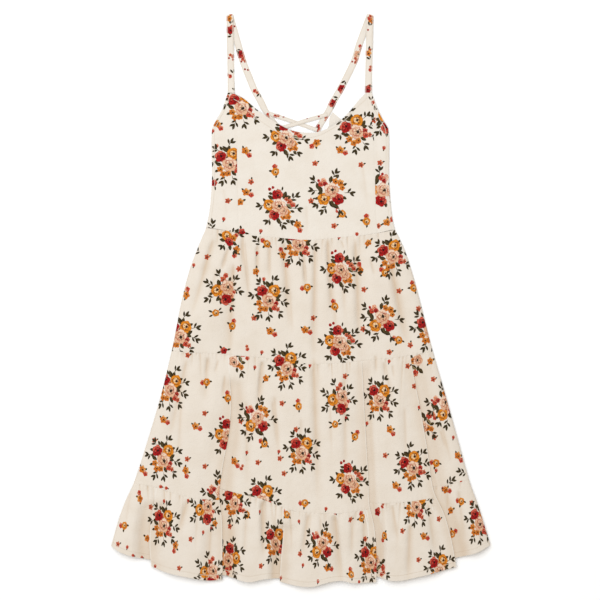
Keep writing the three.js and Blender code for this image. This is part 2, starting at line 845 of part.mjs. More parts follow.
function strapFrontRoute({ foot, fold }, foldTurn, turnY) {
  const highZ = LAYER_Z + 2 * STRAP_TURN_RADIUS;
  const route = [];
  for (let i = 0; i <= STRAP_FRONT_ROWS; i += 1) {
    const t = i / STRAP_FRONT_ROWS;
    const y = lerp(foot.y, turnY, t);
    const down = smoothstep(y, foot.y, foot.y + 30);
    const up = smoothstep(y, STRAP_SAG.to, STRAP_SAG.from);
    const footZ = frontHeight(foot.x, foot.y);
    const z = lerp(lerp(footZ, STRAP_SAG.z, down), highZ, up);
    const turn = foldTurn * smoothstep(y, STRAP_SAG.from, turnY);
    route.push({ x: lerp(foot.x, fold.x, t), y, z, width: STRAP_WIDTH, turn });
  }
  return route;
}

function buildStrap(name, strap) {
  const radius = STRAP_TURN_RADIUS;
  const { fold, back, endWidth } = strap;
  const foldTurn = Math.atan2(back[0].x - fold.x, fold.y - back[0].y) / 2;
  const tilt = Math.abs(Math.sin(foldTurn)) * (STRAP_WIDTH / 2);
  const turnY = fold.y - radius - WALL / 2 - tilt;
  const route = strapFrontRoute(strap, foldTurn, turnY);
  for (let i = 1; i <= 4; i += 1) {
    const angle = (Math.PI * i) / 5;
    const y = turnY + radius * Math.sin(angle);
    const z = LAYER_Z + radius + radius * Math.cos(angle);
    route.push({ x: fold.x, y, z, width: STRAP_WIDTH, turn: foldTurn });
  }
  const points = [{ x: fold.x, y: turnY }, ...back].map(({ x, y }) => new THREE.Vector2(x, y));
  const curve = new THREE.SplineCurve(points);
  for (let i = 0; i <= STRAP_BACK_ROWS; i += 1) {
    const t = i / STRAP_BACK_ROWS;
    const { x, y } = curve.getPointAt(t);
    const ahead = curve.getTangentAt(t);
    const square = Math.atan2(ahead.x, -ahead.y);
    const turn = lerp(foldTurn, square, smoothstep(t, 0, 0.15));
    const width = lerp(endWidth, STRAP_WIDTH, smoothstep(y, STRAP_TAPER.to, STRAP_TAPER.from));
    route.push({ x, y, z: LAYER_Z, width, turn });
  }
  return makeMesh(name, ribbonGeometry(route, WALL), MATERIALS.cotton);
}

function buildLace({ name, from, to, z: middleZ }) {
  const turn = Math.atan2(to.y - from.y, to.x - from.x) + Math.PI / 2;
  const route = [];
  for (let i = 0; i <= LACE_ROWS; i += 1) {
    const t = i / LACE_ROWS;
    const x = lerp(from.x, to.x, t);
    const away = Math.abs(x - LACE_CROSSING.x);
    const z = lerp(middleZ, LACE_END_Z, smoothstep(away, LACE_CROSSING.near, LACE_CROSSING.far));
    route.push({ x, y: lerp(from.y, to.y, t), z, width: LACE_WIDTH, turn });
  }
  return makeMesh(name, ribbonGeometry(route, LACE_WALL), MATERIALS.cotton);
}

const dress = new THREE.Group();
dress.name = 'sundress';
dress.add(...buildBack());
dress.add(...buildBodiceFront());
dress.add(...buildSkirtFront());
dress.add(buildStrap('shoulder_strap_left', STRAPS.left));
dress.add(buildStrap('shoulder_strap_right', STRAPS.right));
for (const lace of LACES) dress.add(buildLace(lace));

// The origin is the middle of the dress's footprint on the floor
const footprint = new THREE.Box3().setFromObject(dress);
const middle = footprint.getCenter(new THREE.Vector3());
dress.position.set(-middle.x, -middle.y, -footprint.min.z);

export default dress;
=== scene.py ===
"""Cotton sundress laid flat on its back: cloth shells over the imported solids, print, stitching and stage.

Tables are in millimetres in the lay of the garment: X to the right, Y towards the neckline, Z up from
the floor. Only PRINT is in pixels of the photograph, and CUTS in metres. Every mesh is written in
metres, moved by LAY_SHIFT to the middle of the footprint.
"""

import math

import bpy
import numpy as np
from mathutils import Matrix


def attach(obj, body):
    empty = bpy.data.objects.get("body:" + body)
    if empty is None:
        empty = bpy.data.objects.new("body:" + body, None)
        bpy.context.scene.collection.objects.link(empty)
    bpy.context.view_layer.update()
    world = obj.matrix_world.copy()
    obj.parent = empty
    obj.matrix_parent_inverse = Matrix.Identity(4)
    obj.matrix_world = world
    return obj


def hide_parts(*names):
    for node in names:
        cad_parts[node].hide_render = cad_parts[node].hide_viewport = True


bl_info = {
    "name": "Sundress",
    "version": (1, 0, 0),
    "blender": (4, 5, 0),
    "location": "View3D > Sidebar > Sundress",
    "description": "Builds the cloth, print and stitching of a tiered cotton sundress around its solids",
    "category": "Add Mesh",
}

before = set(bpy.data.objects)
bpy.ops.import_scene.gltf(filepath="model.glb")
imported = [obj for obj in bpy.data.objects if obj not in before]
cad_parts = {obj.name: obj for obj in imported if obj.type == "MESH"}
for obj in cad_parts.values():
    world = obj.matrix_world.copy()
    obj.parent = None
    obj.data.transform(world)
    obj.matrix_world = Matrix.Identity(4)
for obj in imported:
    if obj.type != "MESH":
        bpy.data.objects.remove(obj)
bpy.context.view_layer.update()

MM = 0.001
LAY_SHIFT = np.array([0.348, -0.104, 0.0])
PHOTO_SCALE = 1.8  # millimetres of cloth per pixel of the photograph
PHOTO_ORIGIN = (301.0, 300.0)  # pixel of the lay's origin
PHOTO_PIXELS = 600

# Heights of the solids' middle surfaces
WALL = 1.2
LAYER_Z = 0.6
SEAM_GAP = 0.05
BACK_MIDDLE = 0.6
REST = 2.1  # lowest middle surface of the front, over the back
EDGE_ROLL = 34.0
PANEL_GAP = 0.06  # from a seam line to the panel's first or last row

# Gathers of each seam: spacing of the troughs, their depth, and how far down they run
GATHERS = {"waist": (8.2, 1.5, 32.0), "tier": (7.0, 1.5, 26.0), "ruffle": (6.6, 1.7, 26.0)}

# Side edges of the dress: y, left x, right x
SIDES = [
    (306, -160, 157), (216, -160, 158), (162, -164, 162), (129, -171, 168), (112, -178, 176),
    (90, -187, 186), (54, -200, 198), (0, -214, 213), (-90, -232, 236), (-180, -254, 262),
    (-270, -281, 287), (-330, -301, 304), (-360, -315, 315), (-396, -328, 327), (-445, -342, 342),
]

# Rise of the front's middle surface over its rest height: y, rise
PUFF = [
    (370, 0.9), (320, 1.8), (240, 3.0), (150, 3.2), (112, 3.2), (60, 6.4), (-30, 7.6),
    (-105, 5.6), (-190, 9.0), (-340, 7.4), (-420, 11.0), (-510, 10.4),
]

# Seams and hem, one list of (x, y) for each bay between overlapping folds
WAIST = [[
    (-173, 130), (-137, 125), (-97, 117), (-52, 113), (16, 108), (72, 113), (117, 117), (169, 126),
]]
TIER_SEAM = [[
    (-232, -92), (-155, -97), (-70, -104), (-2, -115), (72, -113), (112, -109), (164, -104), (236, -93),
]]
LEFT_OF_A = [(-304, -329), (-262, -336), (-228, -347), (-192, -356), (-140, -360)]
BETWEEN_AB = [
    (-170, -333), (-110, -348), (-76, -356), (-40, -369), (-5, -380), (66, -383), (120, -376),
]
BETWEEN_BC = [(108, -364), (157, -365), (194, -362), (250, -354)]
RIGHT_OF_C = [(222, -338), (270, -331), (305, -322)]
HEM = [
    [(-342, -441), (-326, -452), (-299, -461), (-268, -467)],
    [(-278, -474), (-245, -488), (-191, -500), (-165, -504), (-142, -502)],
    [(-154, -490), (-126, -498), (-94, -506), (-67, -501), (-36, -500)],
    [(-40, -505), (-18, -511), (18, -514.5), (52, -506), (74, -504), (95, -508), (136, -507)],
    [(120, -491), (166, -504), (214, -496), (280, -479)],
    [(262, -466), (311, -455), (342, -439)],
]

# Overlapping folds. side 1: the cloth left of the edge lies on top, side -1: the cloth right of it.
# Each fold also sets how strong the painted shade beside it is.
FOLDS = {
    "A": dict(side=1, depth=13, radius=0.36, valley=34, painted_shade=0.66, start=-125, edge=[
        (-105, -131), (-180, -126), (-234, -129), (-300, -141), (-350, -147), (-400, -142), (-505, -142),
    ]),
    "B": dict(side=1, depth=12, radius=0.36, valley=18, painted_shade=0.5, start=-100, edge=[
        (-100, 109), (-180, 113), (-252, 117), (-324, 121), (-369, 123), (-405, 131), (-450, 135),
        (-510, 135),
    ]),
    "C": dict(side=1, depth=17, radius=0.42, valley=40, painted_shade=0.66, start=-92, edge=[
        (-86, 193), (-135, 202), (-184, 212), (-270, 227), (-342, 238), (-382, 256), (-414, 266),
        (-450, 274), (-482, 279),
    ]),
    "D": dict(side=-1, depth=8, radius=0.36, valley=30, painted_shade=0.5, start=-345, edge=[
        (-338, -259), (-405, -270), (-441, -272), (-478, -269),
    ]),
    "E": dict(side=-1, depth=8, radius=0.36, valley=22, painted_shade=0.6, start=-385, edge=[
        (-370, -30), (-423, -32), (-468, -36), (-505, -38),
    ]),
}
FOLD_OPENS_OVER = 36.0
FOLD_DEEPENS_OVER = 110.0
FOLD_RIDGE = 30.0
FOLD_MARGIN = 3  # cloth beside a fold that stays at the fold's level
FOLD_FLAT_SCALE = 0.6
FOLD_LOW = 3.2  # the lower cloth at a fold, over its rest height
VALLEY_SHADE_STRONGER = (-330, -430)  # heights between which the painted shade beside a fold gets stronger
# Painted shade laid evenly over all of the skirt's front
SKIRT_SHADE = 0.15
BEND_STEPS = 8
BACK_STEPS = 5
FOLD_STATIONS = 2 * BEND_STEPS + BACK_STEPS + 1

# Soft troughs and ridges of the solids: x0, y0, x1, y1, width, rise
CREASES = [
    (-158, 112, -200, -45, 10, -4.2), (-131, 94, -144, 50, 6, -2.4), (-121, 68, -130, -125, 13, -4.8),
    (-106, 108, -90, -22, 7, -2.7), (-79, 100, -79, 25, 6, -2.4), (-56, 108, -56, 25, 6, -2.4),
    (-32, 108, -20, -60, 10, -4.2), (4, 90, 9, 10, 6, -2), (25, 108, 22, -130, 8, -3.9),
    (47, 112, 58, -50, 8, -4.5), (72, 68, 80, -45, 8, -2.4), (97, 112, 107, -110, 10, -4.8),
    (160, 70, 193, -95, 12, -5.4), (128, 60, 140, -70, 16, 2.4), (-175, 60, -196, -110, 16, 1.8),
    (-205, -104, -240, -268, 10, -3.2), (-169, -101, -173, -190, 7, -2.1), (-70, -108, -78, -210, 7, -3),
    (-99, -180, -97, -345, 10, -2.8), (-48, -170, -38, -300, 10, -2.2), (22, -100, 31, -390, 11, -3.9),
    (77, -128, 81, -340, 9, -3), (151, -112, 166, -200, 7, -2.1), (254, -225, 274, -310, 9, -2.7),
    (-203, -356, -224, -430, 8, -3), (-162, -410, -166, -520, 8, -4.2), (-70, -358, -66, -470, 8, -6),
    (13, -383, 0, -470, 8, -3), (61, -383, 74, -520, 9, -6), (92, -385, 90, -480, 8, -2.7),
    (164, -366, 175, -440, 7, -2.7), (195, -400, 192, -520, 9, -3.6), (282, -340, 294, -440, 8, -2.7),
    (-306, -345, -318, -420, 8, -1.8), (-118, 330, -112, 122, 5, -0.7), (134, 330, 139, 122, 5, -0.7),
    (-90, 190, -20, 130, 14, 0.8), (90, 200, 30, 135, 14, 0.7),
]

# How narrow the lines of painted shade are in the bottoms of troughs
CREASE_CORE, CREASE_SOFT, GATHER_CORE = 22, 2.5, 7

# Finer creases that only the cloth shows, laid out like CREASES
FINE_CREASES = [
    (-133, 85, -142, 50, 3.2, -1.6), (-108, 112, -104, 57, 3.4, -1.5), (-101, 108, -92, 0, 3.6, -1.7),
    (-79, 99, -79, 58, 3.2, -1.5), (-56, 108, -56, 40, 3.4, -1.5), (4, 76, 6, 27, 3.2, -1.6),
    (8, 63, 11, 18, 2.8, -1.3), (72, 108, 79, 90, 3.2, -1.5), (124, 76, 133, 36, 3.6, -1.5),
    (-167, -104, -171, -135, 3.6, -1.6), (-149, -108, -157, -135, 3.6, -1.5),
    (-137, -135, -142, -180, 4, -1.6),
    (-70, -108, -77, -180, 4.4, -2.0), (-52, -180, -41, -270, 5, -1.8), (133, -99, 135, -135, 3.6, -1.7),
    (149, -112, 151, -144, 3.6, -1.6), (164, -117, 167, -144, 3.6, -1.5), (250, -234, 261, -270, 4.4, -1.6),
    (-150, 60, -172, -20, 6, -1.1), (-20, 20, -14, -70, 6, -1.0), (60, -10, 64, -90, 6, -1.0),
    (-250, -140, -272, -230, 6, -1.2), (-215, -180, -222, -300, 7, -1.3), (0, -210, -4, -330, 6, -1.1),
    (52, -170, 56, -300, 6, -1.2), (186, -190, 190, -320, 7, -1.3), (226, -280, 246, -345, 5, -1.4),
    (-250, -360, -262, -450, 6, -1.4), (-186, -360, -190, -470, 6, -1.3), (-98, -370, -104, -480, 6, -1.4),
    (34, -388, 40, -480, 5, -1.3), (112, -390, 116, -480, 6, -1.5), (148, -370, 152, -470, 5, -1.2),
    (228, -366, 242, -470, 6, -1.4), (-140, 200, -132, 140, 7, -0.5), (60, 190, 70, 130, 9, -0.6),
    (-60, 160, -54, 118, 6, -0.5), (10, 170, 12, 112, 7, -0.5), (110, 250, 122, 150, 8, -0.6),
]

# Bodice outlines
NECKLINE = [
    (-122, 372.6), (-104, 362), (-83, 342), (-56, 322), (-29, 306), (0, 300.5), (27, 304), (58, 320),
    (79, 337), (101, 359), (117, 372.6),
]
PRINCESS_SEAMS = [
    (373, -122.5, 117.5), (304, -115.5, 130), (252, -115, 132), (153, -113, 135), (112, -111, 139),
]
ARMHOLES = [
    (373, -131.5, 126.5), (342, -142, 138), (324, -152, 147), (306, -160, 157), (216, -160, 158),
    (162, -164, 162), (129, -171, 168), (112, -178, 176),
]
APEX_Y = 372.6
BACK_TOP_SIDE_Y = 298.0
BACK_TOP = [
    (-120, 309), (-79, 321), (-71.5, 337.2), (-61, 325.2), (-60, 312), (-50, 298), (-30, 293),
    (0, 290), (26, 292), (42, 299), (50.4, 314), (51, 326), (52.9, 332.6), (56.8, 338), (76, 322),
    (116, 309),
]
BACK_INSET = 0.8
BACK_SAG_POWER = 2.8
BACK_LINES = {  # height of a back seam line at the sides and in the middle
    "waist": (128, 108), "tier": (-93, -112), "ruffle": (-326, -362), "hem": (-436, -490),
}

# Straps: foot on the bodice, shoulder fold, the back stretch and its end width
STRAPS = {
    "left": dict(foot=(-125.6, 372.9), fold=(-128, 514.8), end=8.0, back=[
        (-113, 459), (-105.5, 432), (-95, 405), (-84, 378), (-74, 360), (-64.8, 342), (-54, 327.6),
        (-36, 305),
    ]),
    "right": dict(foot=(121, 372.9), fold=(124, 514.8), end=10.5, back=[
        (104.5, 459), (96.5, 432), (84, 405), (70, 378), (59.5, 360), (50.4, 342), (34.2, 315),
        (28, 303),
    ]),
}
STRAP_WIDTH = 12.0
LACES = {  # start, end and height where they cross
    "lower": ((-57, 335.6), (29, 306), 0.5),
    "upper": ((-36.5, 309.2), (47, 334), 1.85),
}
LACE_WIDTH = 7.0
LACE_WALL = 1.0
LACE_END_Z = 2.0
LACE_CROSSING_X = -3.0
STRAP_SAG_Z = 0.9
STRAP_TURN_RADIUS = 1.0
RIBBON_STATIONS = 13
RIBBON_STITCH = 1.3
SEAM_DIP = 0.3
FACING_DEPTH = 9.5
ARMHOLE_DEPTH = 5.0
HEM_DEPTH = 9.0
HEM_RISE = 0.3
BACK_COLUMN_STEP = 4.0
BACK_ROW_STEP = 4.4
BACK_BODICE_STATIONS = 52
BODICE_ROWS = 84
CENTRE_COLUMNS, SIDE_COLUMNS = 120, 24
WAIST_Y = 112
FACING_RISE = 0.25
SEAM_DIP_WIDTH, PRINCESS_DIP_WIDTH = 1.1, 1.4
STRAP_FRONT_STATIONS, STRAP_TURN_STATIONS, STRAP_BACK_STATIONS = 48, 10, 76
STRAP_SETTLES_OVER = 30
STRAP_LIFTS = (425, 462)  # heights between which a strap rises to its shoulder fold
STRAP_WIDENS = (326, 352)  # heights between which a strap's back end gets its full width
LACE_STATIONS = 46
LACE_LEVELS = (8, 32)  # distances from the crossing between which a lace gets its end height


class SundressCloth(bpy.types.PropertyGroup):
    """Sizes and colours of the cloth"""

    thickness: bpy.props.FloatProperty(
        name="Cloth thickness", description="Thickness of the cotton", default=0.0006, unit="LENGTH")
    column_step: bpy.props.FloatProperty(
        name="Column step", description="Width of the cloth faces", default=0.0017, unit="LENGTH")
    row_step: bpy.props.FloatProperty(
        name="Row step", description="Height of the cloth faces", default=0.0032, unit="LENGTH")
    ground: bpy.props.FloatVectorProperty(
        name="Ground", description="Colour of the unprinted cotton", subtype="COLOR", size=3,
        default=(0.705, 0.657, 0.592))


class SundressStage(bpy.types.PropertyGroup):
    """Floor, light and camera"""

    floor: bpy.props.FloatVectorProperty(
        name="Floor", description="Colour of the floor", subtype="COLOR", size=3, default=(0.93, 0.93, 0.93))
    camera_height: bpy.props.FloatProperty(
        name="Camera height", description="Camera over the floor", default=3.6, unit="LENGTH")


def cloth_settings():
    return bpy.context.scene.sundress_cloth


def cloth_thickness():
    return cloth_settings().thickness / MM


def stage_settings():
    return bpy.context.scene.sundress_stage


# Curves and surfaces of the lay


class Curve:
    """Smooth line through the rows of a table, held level past its ends."""

    def __init__(self, rows, column=1):
        rows = sorted(rows)
        self.at = np.array([row[0] for row in rows], float)
        self.value = np.array([row[column] for row in rows], float)
        before = np.maximum(np.arange(len(rows)) - 1, 0)
        after = np.minimum(np.arange(len(rows)) + 1, len(rows) - 1)
        self.slope = (self.value[after] - self.value[before]) / (self.at[after] - self.at[before])

    def __call__(self, at):
        at = np.clip(np.asarray(at, float), self.at[0], self.at[-1])
        k = np.clip(np.searchsorted(self.at, at, side="right") - 1, 0, len(self.at) - 2)
        span = self.at[k + 1] - self.at[k]
        t = (at - self.at[k]) / span
        rise = (3 - 2 * t) * t * t
        bend = span * t * (1 - t) * (self.slope[k] * (1 - t) - self.slope[k + 1] * t)
        return self.value[k] + (self.value[k + 1] - self.value[k]) * rise + bend


LEFT_SIDE, RIGHT_SIDE, PUFF_RISE = Curve(SIDES, 1), Curve(SIDES, 2), Curve(PUFF)
for fold in FOLDS.values():
    fold["line"] = Curve(fold["edge"])


def smooth(at, low, high):
    t = np.clip((np.asarray(at, float) - low) / (high - low), 0, 1)
    return t * t * (3 - 2 * t)


def lerp(a, b, t):
    return a + (b - a) * t


def uneven(index, kind):
    """Repeatable uneven value from -1 to 1."""
    wave = np.sin(np.asarray(index, float) * 12.9898 + kind * 78.233) * 437.585
    return 2 * (wave - np.floor(wave)) - 1


def cos_sin(turn):
    """Cosine and sine of a turn in degrees."""
    return math.cos(math.radians(turn)), math.sin(math.radians(turn))


def side_roll(x, y):
    """Share of the front's height near the side edges, where it rolls down to the back."""
    inside = np.minimum(x - LEFT_SIDE(y), RIGHT_SIDE(y) - x)
    t = np.clip(inside / EDGE_ROLL, 0, 1)
    return np.sqrt(t * (2 - t))


def crease_rise(x, y, creases):
    """Rise of the cloth by troughs and ridges, and the painted shade in the bottoms of the troughs."""
    rise, painted_shade = np.zeros(np.broadcast(x, y).shape), np.zeros(np.broadcast(x, y).shape)
    for x0, y0, x1, y1, width, depth in creases:
        along = (y0 - y) / (y0 - y1)
        spread = steep((x - lerp(x0, x1, along)) / (width * lerp(0.8, 1.25, along)), x0 + y0)
        inside = (along > 0) & (along < 1)
        fade = smooth(along, 0, 0.12) * (1 - smooth(along, 0.6, 1))
        rise += np.where(inside, depth * fade * np.exp(-spread * spread), 0)
        core = 0.6 * np.exp(-CREASE_CORE * spread * spread) + 0.4 * np.exp(-CREASE_SOFT * spread * spread)
        core = core * smooth(along, 0, 0.05) * (1 - smooth(along, 0.3, 1))
        strength = min(0.16 - 0.06 * depth, 0.44)
        painted_shade = np.maximum(painted_shade, np.where(inside & (depth < 0), strength * core, 0))
    return rise, painted_shade


def steep(spread, seed):
    """A crease's spread with one side steeper than the other."""
    return np.where(spread * (1 if uneven(seed, 3) > -0.3 else -1) > 0, 0.75 * spread, 1.55 * spread)


def front_height(x, y):
    rise = PUFF_RISE(y) + crease_rise(x, y, CREASES)[0]
    return REST + np.maximum(rise, 0.4) * side_roll(x, y)


def fold_section(fold, y):
    """Stations of a fold's section at each height in y: x and z with one row for each height."""
    y = np.asarray(y, float)[:, None]
    turn = math.pi * smooth(fold["start"] - y, 0, FOLD_OPENS_OVER)
    deepen = smooth(fold["start"] - y, FOLD_OPENS_OVER, FOLD_OPENS_OVER + FOLD_DEEPENS_OVER)
    bend = (np.arange(BEND_STEPS) + 0.5) / BEND_STEPS
    heading = -turn * np.concatenate([bend, np.ones(BACK_STEPS), bend[::-1]])[None, :]
    radius = fold["radius"]
    back = lerp(radius, fold["depth"], deepen)
    step = np.full(BEND_STEPS, 3 * radius / BEND_STEPS)[None, :] * np.ones_like(y)
    length = np.concatenate([step, np.repeat(back / BACK_STEPS, BACK_STEPS, axis=1), step], axis=1)
    closed = (1 - np.cos(turn)) / 2
    drop = -(length * np.sin(heading)).sum(axis=1, keepdims=True)
    scale = np.clip(closed * 4 * radius / np.maximum(drop, 0.01), FOLD_FLAT_SCALE, 1)
    scale = np.where(deepen > 0, 1, scale)
    edge = fold["line"](y)
    high = lerp(front_height(edge, y), REST + FOLD_LOW + 4 * radius, closed)
    reach = -radius * math.cos(math.pi / 6) * scale + np.cumsum(
        np.hstack([np.zeros_like(y), length * scale * np.cos(heading)]), axis=1)
    z = high + np.cumsum(np.hstack([np.zeros_like(y), length * scale * np.sin(heading)]), axis=1)
    x = edge + fold["side"] * reach
    if fold["side"] < 0:
        x, z = x[:, ::-1], z[:, ::-1]
    formed = smooth(turn, 0, math.pi / 6)
    z = lerp(front_height(x, y), z, formed)
    top, low = (z[:, 0], z[:, -1]) if fold["side"] > 0 else (z[:, -1], z[:, 0])
    return dict(x=x, z=z, edge=edge[:, 0], high=top, low=low, depth=back[:, 0], closed=closed[:, 0])


def beside_fold(fold, left_neighbour, x, y, z):
    """Cloth next to a fold is drawn to the fold's high or low level, and gets painted shade."""
    section = fold_section(fold, y.ravel())
    shape = {key: section[key].reshape(y.shape) for key in ("edge", "high", "low", "depth", "closed")}
    beyond = fold["side"] * (x - shape["edge"])
    on_top = left_neighbour == (fold["side"] > 0)
    if on_top:
        pull = smooth(beyond, -shape["depth"] - FOLD_MARGIN - FOLD_RIDGE, -shape["depth"] - FOLD_MARGIN)
    else:
        pull = 1 - smooth(beyond, FOLD_MARGIN + 0.3 * fold["valley"], FOLD_MARGIN + fold["valley"])
    still = pull * shape["closed"]
    if on_top:
        calm = smooth(-beyond, 1, 9)
        shade = 0.3 * smooth(beyond, -20, -1)
    else:
        calm = smooth(beyond, 1, 9)
        stronger_shade = smooth(-y, -VALLEY_SHADE_STRONGER[0], -VALLEY_SHADE_STRONGER[1])
        shade = (0.4 + 0.22 * stronger_shade) * (1 - smooth(beyond, 0.3 * fold["valley"], fold["valley"]))
        shade = (shade + 0.3 * (1 - smooth(beyond, 0.5, 7))) * fold["painted_shade"]
    shade = shade * shape["closed"]
    calm = lerp(1, calm, shape["closed"])
    return lerp(z, shape["high"] if on_top else shape["low"], still), calm, shade


# Gathered panels


def gathers(x, down, left, right, kind, seed):
    """Troughs and ridges that run down from a gathered seam, uneven in place, width, depth and length."""
    pitch, depth, run = GATHERS[kind]
    count = max(3, round((right - left) / pitch))
    relief, painted_shade = np.zeros(x.shape), np.zeros(x.shape)
    for k in range(count):
        place, size, reach, lean = (float(uneven(k + 53 * seed, row)) for row in range(4))
        at = left + (right - left) * (k + 0.5 + 0.42 * place) / count
        width = pitch * (0.3 + 0.09 * size)
        length = run * (0.62 + 0.5 * reach + 1.6 * max(reach - 0.55, 0))
        drop = depth * (0.62 - 0.55 * uneven(k + 19 * seed, 5)) * (-1 if k % 4 else 0.6)
        spread = steep((x - at - 0.09 * lean * down) / (width * (1 + down / 70)), k + seed)
        fade = np.exp(-(down / length) ** 1.4)
        relief += drop * np.exp(-spread * spread) * fade
        # Painted shade along the bottom of each trough, fading down the trough
        bottom = np.clip(-0.3 * drop, 0, 0.45) * np.exp(-GATHER_CORE * spread * spread)
        painted_shade = np.maximum(painted_shade, bottom * fade)
    return relief * smooth(down, 0, 2.4), painted_shade


def seam_nips(x, away):
    """Puckers that a seam draws into the cloth on both of its sides."""
    nips = np.sin(0.86 * x + 1.7 * np.sin(0.11 * x) + 1.1 * np.sin(0.037 * x))
    return 0.36 * nips * np.exp(-away / 5.0)


def seam_dip(away, width=SEAM_DIP_WIDTH):
    """Groove that a seam presses into the cloth."""
    return -SEAM_DIP * np.exp(-(away / width) ** 2)


def crumple(x, y):
    """Low waves that washed cotton keeps."""
    return (
        0.20 * np.sin(0.061 * x + 0.021 * y + 1.3 * np.sin(0.017 * y))
        + 0.14 * np.sin(0.113 * x - 0.034 * y + 2.1) * np.sin(0.039 * y + 0.7)
        + 0.08 * np.sin(0.19 * x + 0.11 * y) * np.sin(0.083 * y - 0.05 * x + 1.9)
    )


class Panel:
    """Middle surface of a gathered front panel as rows of stations across it."""

    def __init__(self, folds, top, bottom, gather, length, seed, is_hem=False):
        self.folds = [FOLDS[name] for name in folds]
        self.top = [Curve(bay) for bay in top]
        self.bottom = [Curve(bay) for bay in bottom]
        self.ends = (top[0][0][1], top[-1][-1][1], bottom[0][0][1], bottom[-1][-1][1])
        self.top_starts = [bay[0][1] for bay in top]
        self.bottom_starts = [bay[0][1] for bay in bottom]
        self.gather, self.length, self.seed, self.is_hem = gather, length, seed, is_hem

    def seam_at_fold(self, lines, starts, number, shift):
        """Height of a seam at each station of a fold, its step taken in the hidden middle."""
        share = smooth(np.arange(FOLD_STATIONS), BEND_STEPS, FOLD_STATIONS - 1 - BEND_STEPS)
        y = np.full(FOLD_STATIONS, float(starts[number + 1]))
        for _ in range(3):
            x = np.diagonal(fold_section(self.folds[number], y)["x"])
            y = lerp(lines[number](x), lines[number + 1](x), share) + shift
        return y

    def build(self, rows):
        """x, y, z, arc place along each row, and the bay of each column."""
        gap = PANEL_GAP
        part = (rows / self.length)[:, None]
        last = len(self.folds)
        blocks, bays, folded = [], [], []
        fold_blocks = []
        for number, fold in enumerate(self.folds):
            upper = self.seam_at_fold(self.top, self.top_starts, number, -gap)
            lower = self.seam_at_fold(self.bottom, self.bottom_starts, number, 0 if self.is_hem else gap)
            y = lerp(upper[None, :], lower[None, :], part)
            column = np.tile(np.arange(FOLD_STATIONS), len(rows))
            section = fold_section(fold, y.ravel())
            picked = np.arange(y.size)
            fold_blocks.append((
                section["x"][picked, column].reshape(y.shape), y,
                section["z"][picked, column].reshape(y.shape),
            ))
        left_top, right_top, left_bottom, right_bottom = self.ends
        side_y = (
            lerp(left_top - gap, left_bottom + (0 if self.is_hem else gap), part),
            lerp(right_top - gap, right_bottom + (0 if self.is_hem else gap), part),
        )
        for bay in range(last + 1):
            if bay == 0:
                start = (LEFT_SIDE(side_y[0]), side_y[0])
            else:
                start = (fold_blocks[bay - 1][0][:, -1:], fold_blocks[bay - 1][1][:, -1:])
            if bay == last:
                end = (RIGHT_SIDE(side_y[1]), side_y[1])
            else:
                end = (fold_blocks[bay][0][:, :1], fold_blocks[bay][1][:, :1])
            blocks.append(self.build_bay(bay, start, end, part, rows))
            bays.append(np.full(blocks[-1][0].shape[1], bay))
            folded.append(np.zeros(len(bays[-1]), bool))
            if bay < last:
                fold_x, fold_y, fold_z = fold_blocks[bay]
                blocks.append((fold_x, fold_y, fold_z, fold_z, np.zeros_like(fold_x)))
                half = FOLD_STATIONS // 2
                bays.append(np.where(np.arange(FOLD_STATIONS) <= half, bay, bay + 1))
                folded.append(np.ones(FOLD_STATIONS, bool))
        x, y, z, calm_z, shade = (np.concatenate([block[i] for block in blocks], axis=1) for i in range(5))
        bays, folded = np.concatenate(bays), np.concatenate(folded)
        return x, y, z, arc_place(x, calm_z, bays), bays, folded, shade

    def build_bay(self, bay, start, end, part, rows):
        widest = float((end[0] - start[0]).max())
        columns = max(6, round(widest / (cloth_settings().column_step / MM)))
        across = np.linspace(0, 1, columns + 1)
        if self.folds:
            across = across[(0 if bay == 0 else 1):(None if bay == len(self.folds) else -1)]
        x = lerp(start[0], end[0], across[None, :])
        gap = PANEL_GAP
        upper = self.top[bay](lerp(start[0][0, 0], end[0][0, 0], across)) - gap
        lower = self.bottom[bay](lerp(start[0][-1, 0], end[0][-1, 0], across)) + (0 if self.is_hem else gap)
        y = lerp(upper[None, :], lower[None, :], part)
        z = front_height(x, y)
        calm = side_roll(x, y)
        sides = []
        if bay > 0:
            sides.append((self.folds[bay - 1], False))
        if bay < len(self.folds):
            sides.append((self.folds[bay], True))
        shade = np.zeros_like(x)
        for fold, left_neighbour in sides:
            z, quiet, painted_shade = beside_fold(fold, left_neighbour, x, y, z)
            calm = calm * quiet
            shade = np.maximum(shade, painted_shade)
        down = rows[:, None] * np.ones_like(x)
        rising = self.length - down
        relief, painted_shade = gathers(x, down, x[0, 0], x[0, -1], self.gather, self.seed + 7 * bay)
        fine, fine_painted_shade = crease_rise(x, y, FINE_CREASES)
        wide_painted_shade = crease_rise(x, y, CREASES)[1]
        # Painted shade: an even amount over the skirt's front, and lines in the bottoms of gathers and
        # creases
        shade += SKIRT_SHADE + np.maximum(np.maximum(painted_shade, fine_painted_shade), wide_painted_shade) * calm
        relief += fine + crumple(x, y) + seam_nips(x, down)
        if not self.is_hem:
            relief += seam_nips(x, rising)
        foot = HEM_RISE * smooth(HEM_DEPTH + 1 - rising, 0, 1.2) if self.is_hem else seam_dip(rising)
        seam = seam_dip(down) + foot
        return x, y, np.maximum(REST - 0.2, z + relief * calm + seam), z, shade


def arc_place(x, z, bays):
    """Place of each station on the flat cloth: x at a bay's middle, arc length away from there."""
    place = np.empty_like(x)
    for bay in np.unique(bays):
        columns = np.nonzero(bays == bay)[0]
        inner, height = x[:, columns], z[:, columns]
        step = np.hypot(np.diff(inner, axis=1), np.diff(height, axis=1))
        arc = np.hstack([np.zeros((len(x), 1)), np.cumsum(step, axis=1)])
        middle = len(columns) // 2
        place[:, columns] = arc - arc[:, middle:middle + 1] + inner[:, middle:middle + 1]
    return place


